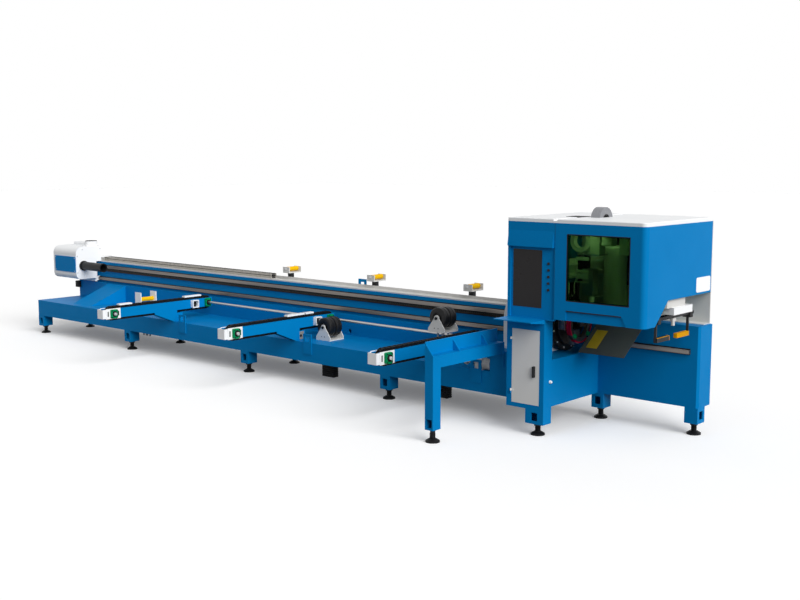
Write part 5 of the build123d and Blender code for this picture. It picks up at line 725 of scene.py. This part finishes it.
diffuser = add(tree, "ShaderNodeBsdfPrincipled", {"Base Color": linear("#F4F4F0"), "Roughness": 0.5,
                                                  "Emission Color": linear("#FFFFFF"),
                                                  "Emission Strength": level.outputs[0]})
add(tree, "ShaderNodeOutputMaterial", {0: diffuser.outputs[0]})
piece("led_strip", "machine", "white_paint", led_light, blocks(*LED, edge=3))


# Window: green acrylic that stops the laser's light, held in a black rubber gasket.
# Cast acrylic is clear, and its dye lets only green through, so what is inside looks dark green. It is coated
# against reflections, which the low index stands for.
WINDOW_MIDDLE, WINDOW_HALF, HAZE = (8625.5, 1429.0), np.array([287.5, 271.0]), 0.25
GASKET, GASKET_CORNER = 6.0, 10
GASKET_DEPTHS = np.array([-874.0, -880.5, -880.5, -874.0])
window, tree, place = new_finish("green_laser_acrylic")
haze = add(tree, "ShaderNodeTexNoise", {"Vector": place, "Scale": 1 / HAZE, "Detail": 2.0})
tint = add(tree, "ShaderNodeMix", {0: haze.outputs[0], 6: linear("#6A9E52"), 7: linear("#5F9149")},
           data_type="RGBA")
pane = add(tree, "ShaderNodeBsdfPrincipled", {"Base Color": tint.outputs[2], "Roughness": 0.03, "IOR": 1.06,
                                              "Transmission Weight": 1.0})
add(tree, "ShaderNodeOutputMaterial", {0: pane.outputs[0]})
dress(window, "window_glass")
wide, narrow = (outline(WINDOW_HALF - inset, GASKET_CORNER - inset) + WINDOW_MIDDLE for inset in (0, GASKET))
ring = np.zeros((1, 4, 12, 3))
ring[..., (0, 2)] = np.stack([wide, wide, narrow, narrow])
ring[..., 1] = GASKET_DEPTHS[:, None]
piece("window_gasket", "machine", "black_plastic", black_rubber_and_shade, loft(ring, loop=True))


# Extractor fan on the roof: a rolled sheet drum with a rubber inlet ring on its right, and a black wheel in it.
# Galvanised sheet is a mottled mid grey.
FAN_PLACE, INLET = (8400, -390, 1795), [(34, 0), (46, 0), (46, 4), (34, 4)]
galvanised = mottled("galvanised_sheet", "#96979B", "#808286", 0.45, 0.5, 0.015)
dress(galvanised, "fan_housing")
dress(black_paint, "fan_impeller")
piece("fan_inlet_ring", "machine", "black_plastic", black_rubber_and_shade,
      turned(INLET, [FAN_PLACE], X, sides=36, hollow=True))


# Operator console: blue folded sheet, flared to a lip over a dark glass screen, with five black push buttons and
# a keyboard shelf. Its cabinet has a pale grey door with a black swing handle, and a white cable gland.
HOOD_LIP, LIP_REACH = np.array([(-879, 1720), (-897, 1590), (-897, 1580), (-879, 1580)], float), (7768.0, 8214.0)
GLAND, GLAND_PLACE = [(14, 0), (14, 8), (10, 10), (10, 20), (7, 22)], (8139, -789, 456)
dress(blue_coat, "console_shell", "keyboard_shelf")
door_coat = powder_coat("door_grey_powder_coat", "#E6E5E2", "#DAD9D6", 0.42)
dress(door_coat, "cabinet_door")
dress(black_nylon_and_shade, "door_handle", "button_1", "button_2", "button_3", "button_4", "button_5")
glass = mottled("dark_screen_glass", "#1E1B1C", "#191617", 0.30, 0.0, 0.3)
dress(glass, "screen")
piece("console_hood_lip", "machine", "blue_paint", blue_coat, prism(HOOD_LIP, X, *LIP_REACH), bend=20)
piece("cabinet_gland", "machine", "white_paint", sign_white, turned(GLAND, [GLAND_PLACE], X, sides=16))


# Part chute: a dark grey coated sheet on a pin, with a plain yellow wear pad glued to it.
# The pad is cast urethane in a darker, browner yellow than the rollers, and dull.
PIN_Y, PIN_Z, SLOPE = -62.0, 905.0, math.radians(36)
CHUTE_PAD = ((8209.5, -357.5, 4.6), (8315.5, -135, 6.2))
slate_coat = powder_coat("dark_grey_powder_coat", "#4B5151", "#434848", 0.45)
dress(slate_coat, "chute_plate")
dull_urethane = powder_coat("dark_yellow_urethane", "#B79B2A", "#A88E24", 0.6)
points, faces = blocks(*CHUTE_PAD, edge=0.7)
sloped = np.column_stack([points[:, 0], PIN_Y + points[:, 1] * math.cos(SLOPE) - points[:, 2] * math.sin(SLOPE),
                          PIN_Z + points[:, 1] * math.sin(SLOPE) + points[:, 2] * math.cos(SLOPE)])
piece("chute_pad", "chute", "yellow_urethane", dull_urethane, (sloped, faces))


# Unloading gripper: a white body on a grey hanger, with a black slide bar under it that carries two black fingers.
# The fingers' pads are faced with mustard urethane, and a part sensor hangs in the middle.
HANGER = ((8955.3, -480.7, 1118.2), (9026.7, -179.3, 1190))
SLIDE_BAR = ((8974.8, -662.5, 1032.8), (9025.2, -17.5, 1058))
SENSOR = ((8986, -352, 1000), (8990, -340, 964)), ((9014, -298, 1033), (9010, -310, 1001))
REAR_FACING = ((8983.4, -279.6, 857.4), (9016.6, -74.4, 894.6))
FRONT_FACING = ((9011, -610, 893), (8983.4, -412, 857.4)), ((9016.6, -406.4, 896), (9016.6, -406.4, 896))
dress(white_coat, "gripper_body")
dress(black_paint, "finger_front", "finger_rear")
mustard = powder_coat("mustard_urethane", "#D99A0B", "#C98C08", 0.5)
piece("gripper_hanger_sleeve", "machine", "grey_paint", grey_coat, blocks(*HANGER, edge=0.6))
piece("gripper_slide_bar", "machine", "black_paint", black_paint, blocks(*SLIDE_BAR, edge=0.15))
piece("part_sensor", "machine", "grey_paint", grey_coat, blocks(*SENSOR, edge=2))
piece("rear_finger_facing", "rear_finger", "yellow_urethane", mustard, blocks(*REAR_FACING, edge=0.5))
piece("front_finger_facing", "front_finger", "yellow_urethane", mustard, blocks(*FRONT_FACING, edge=0.5))


bpy.context.view_layer.update()
low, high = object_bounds()
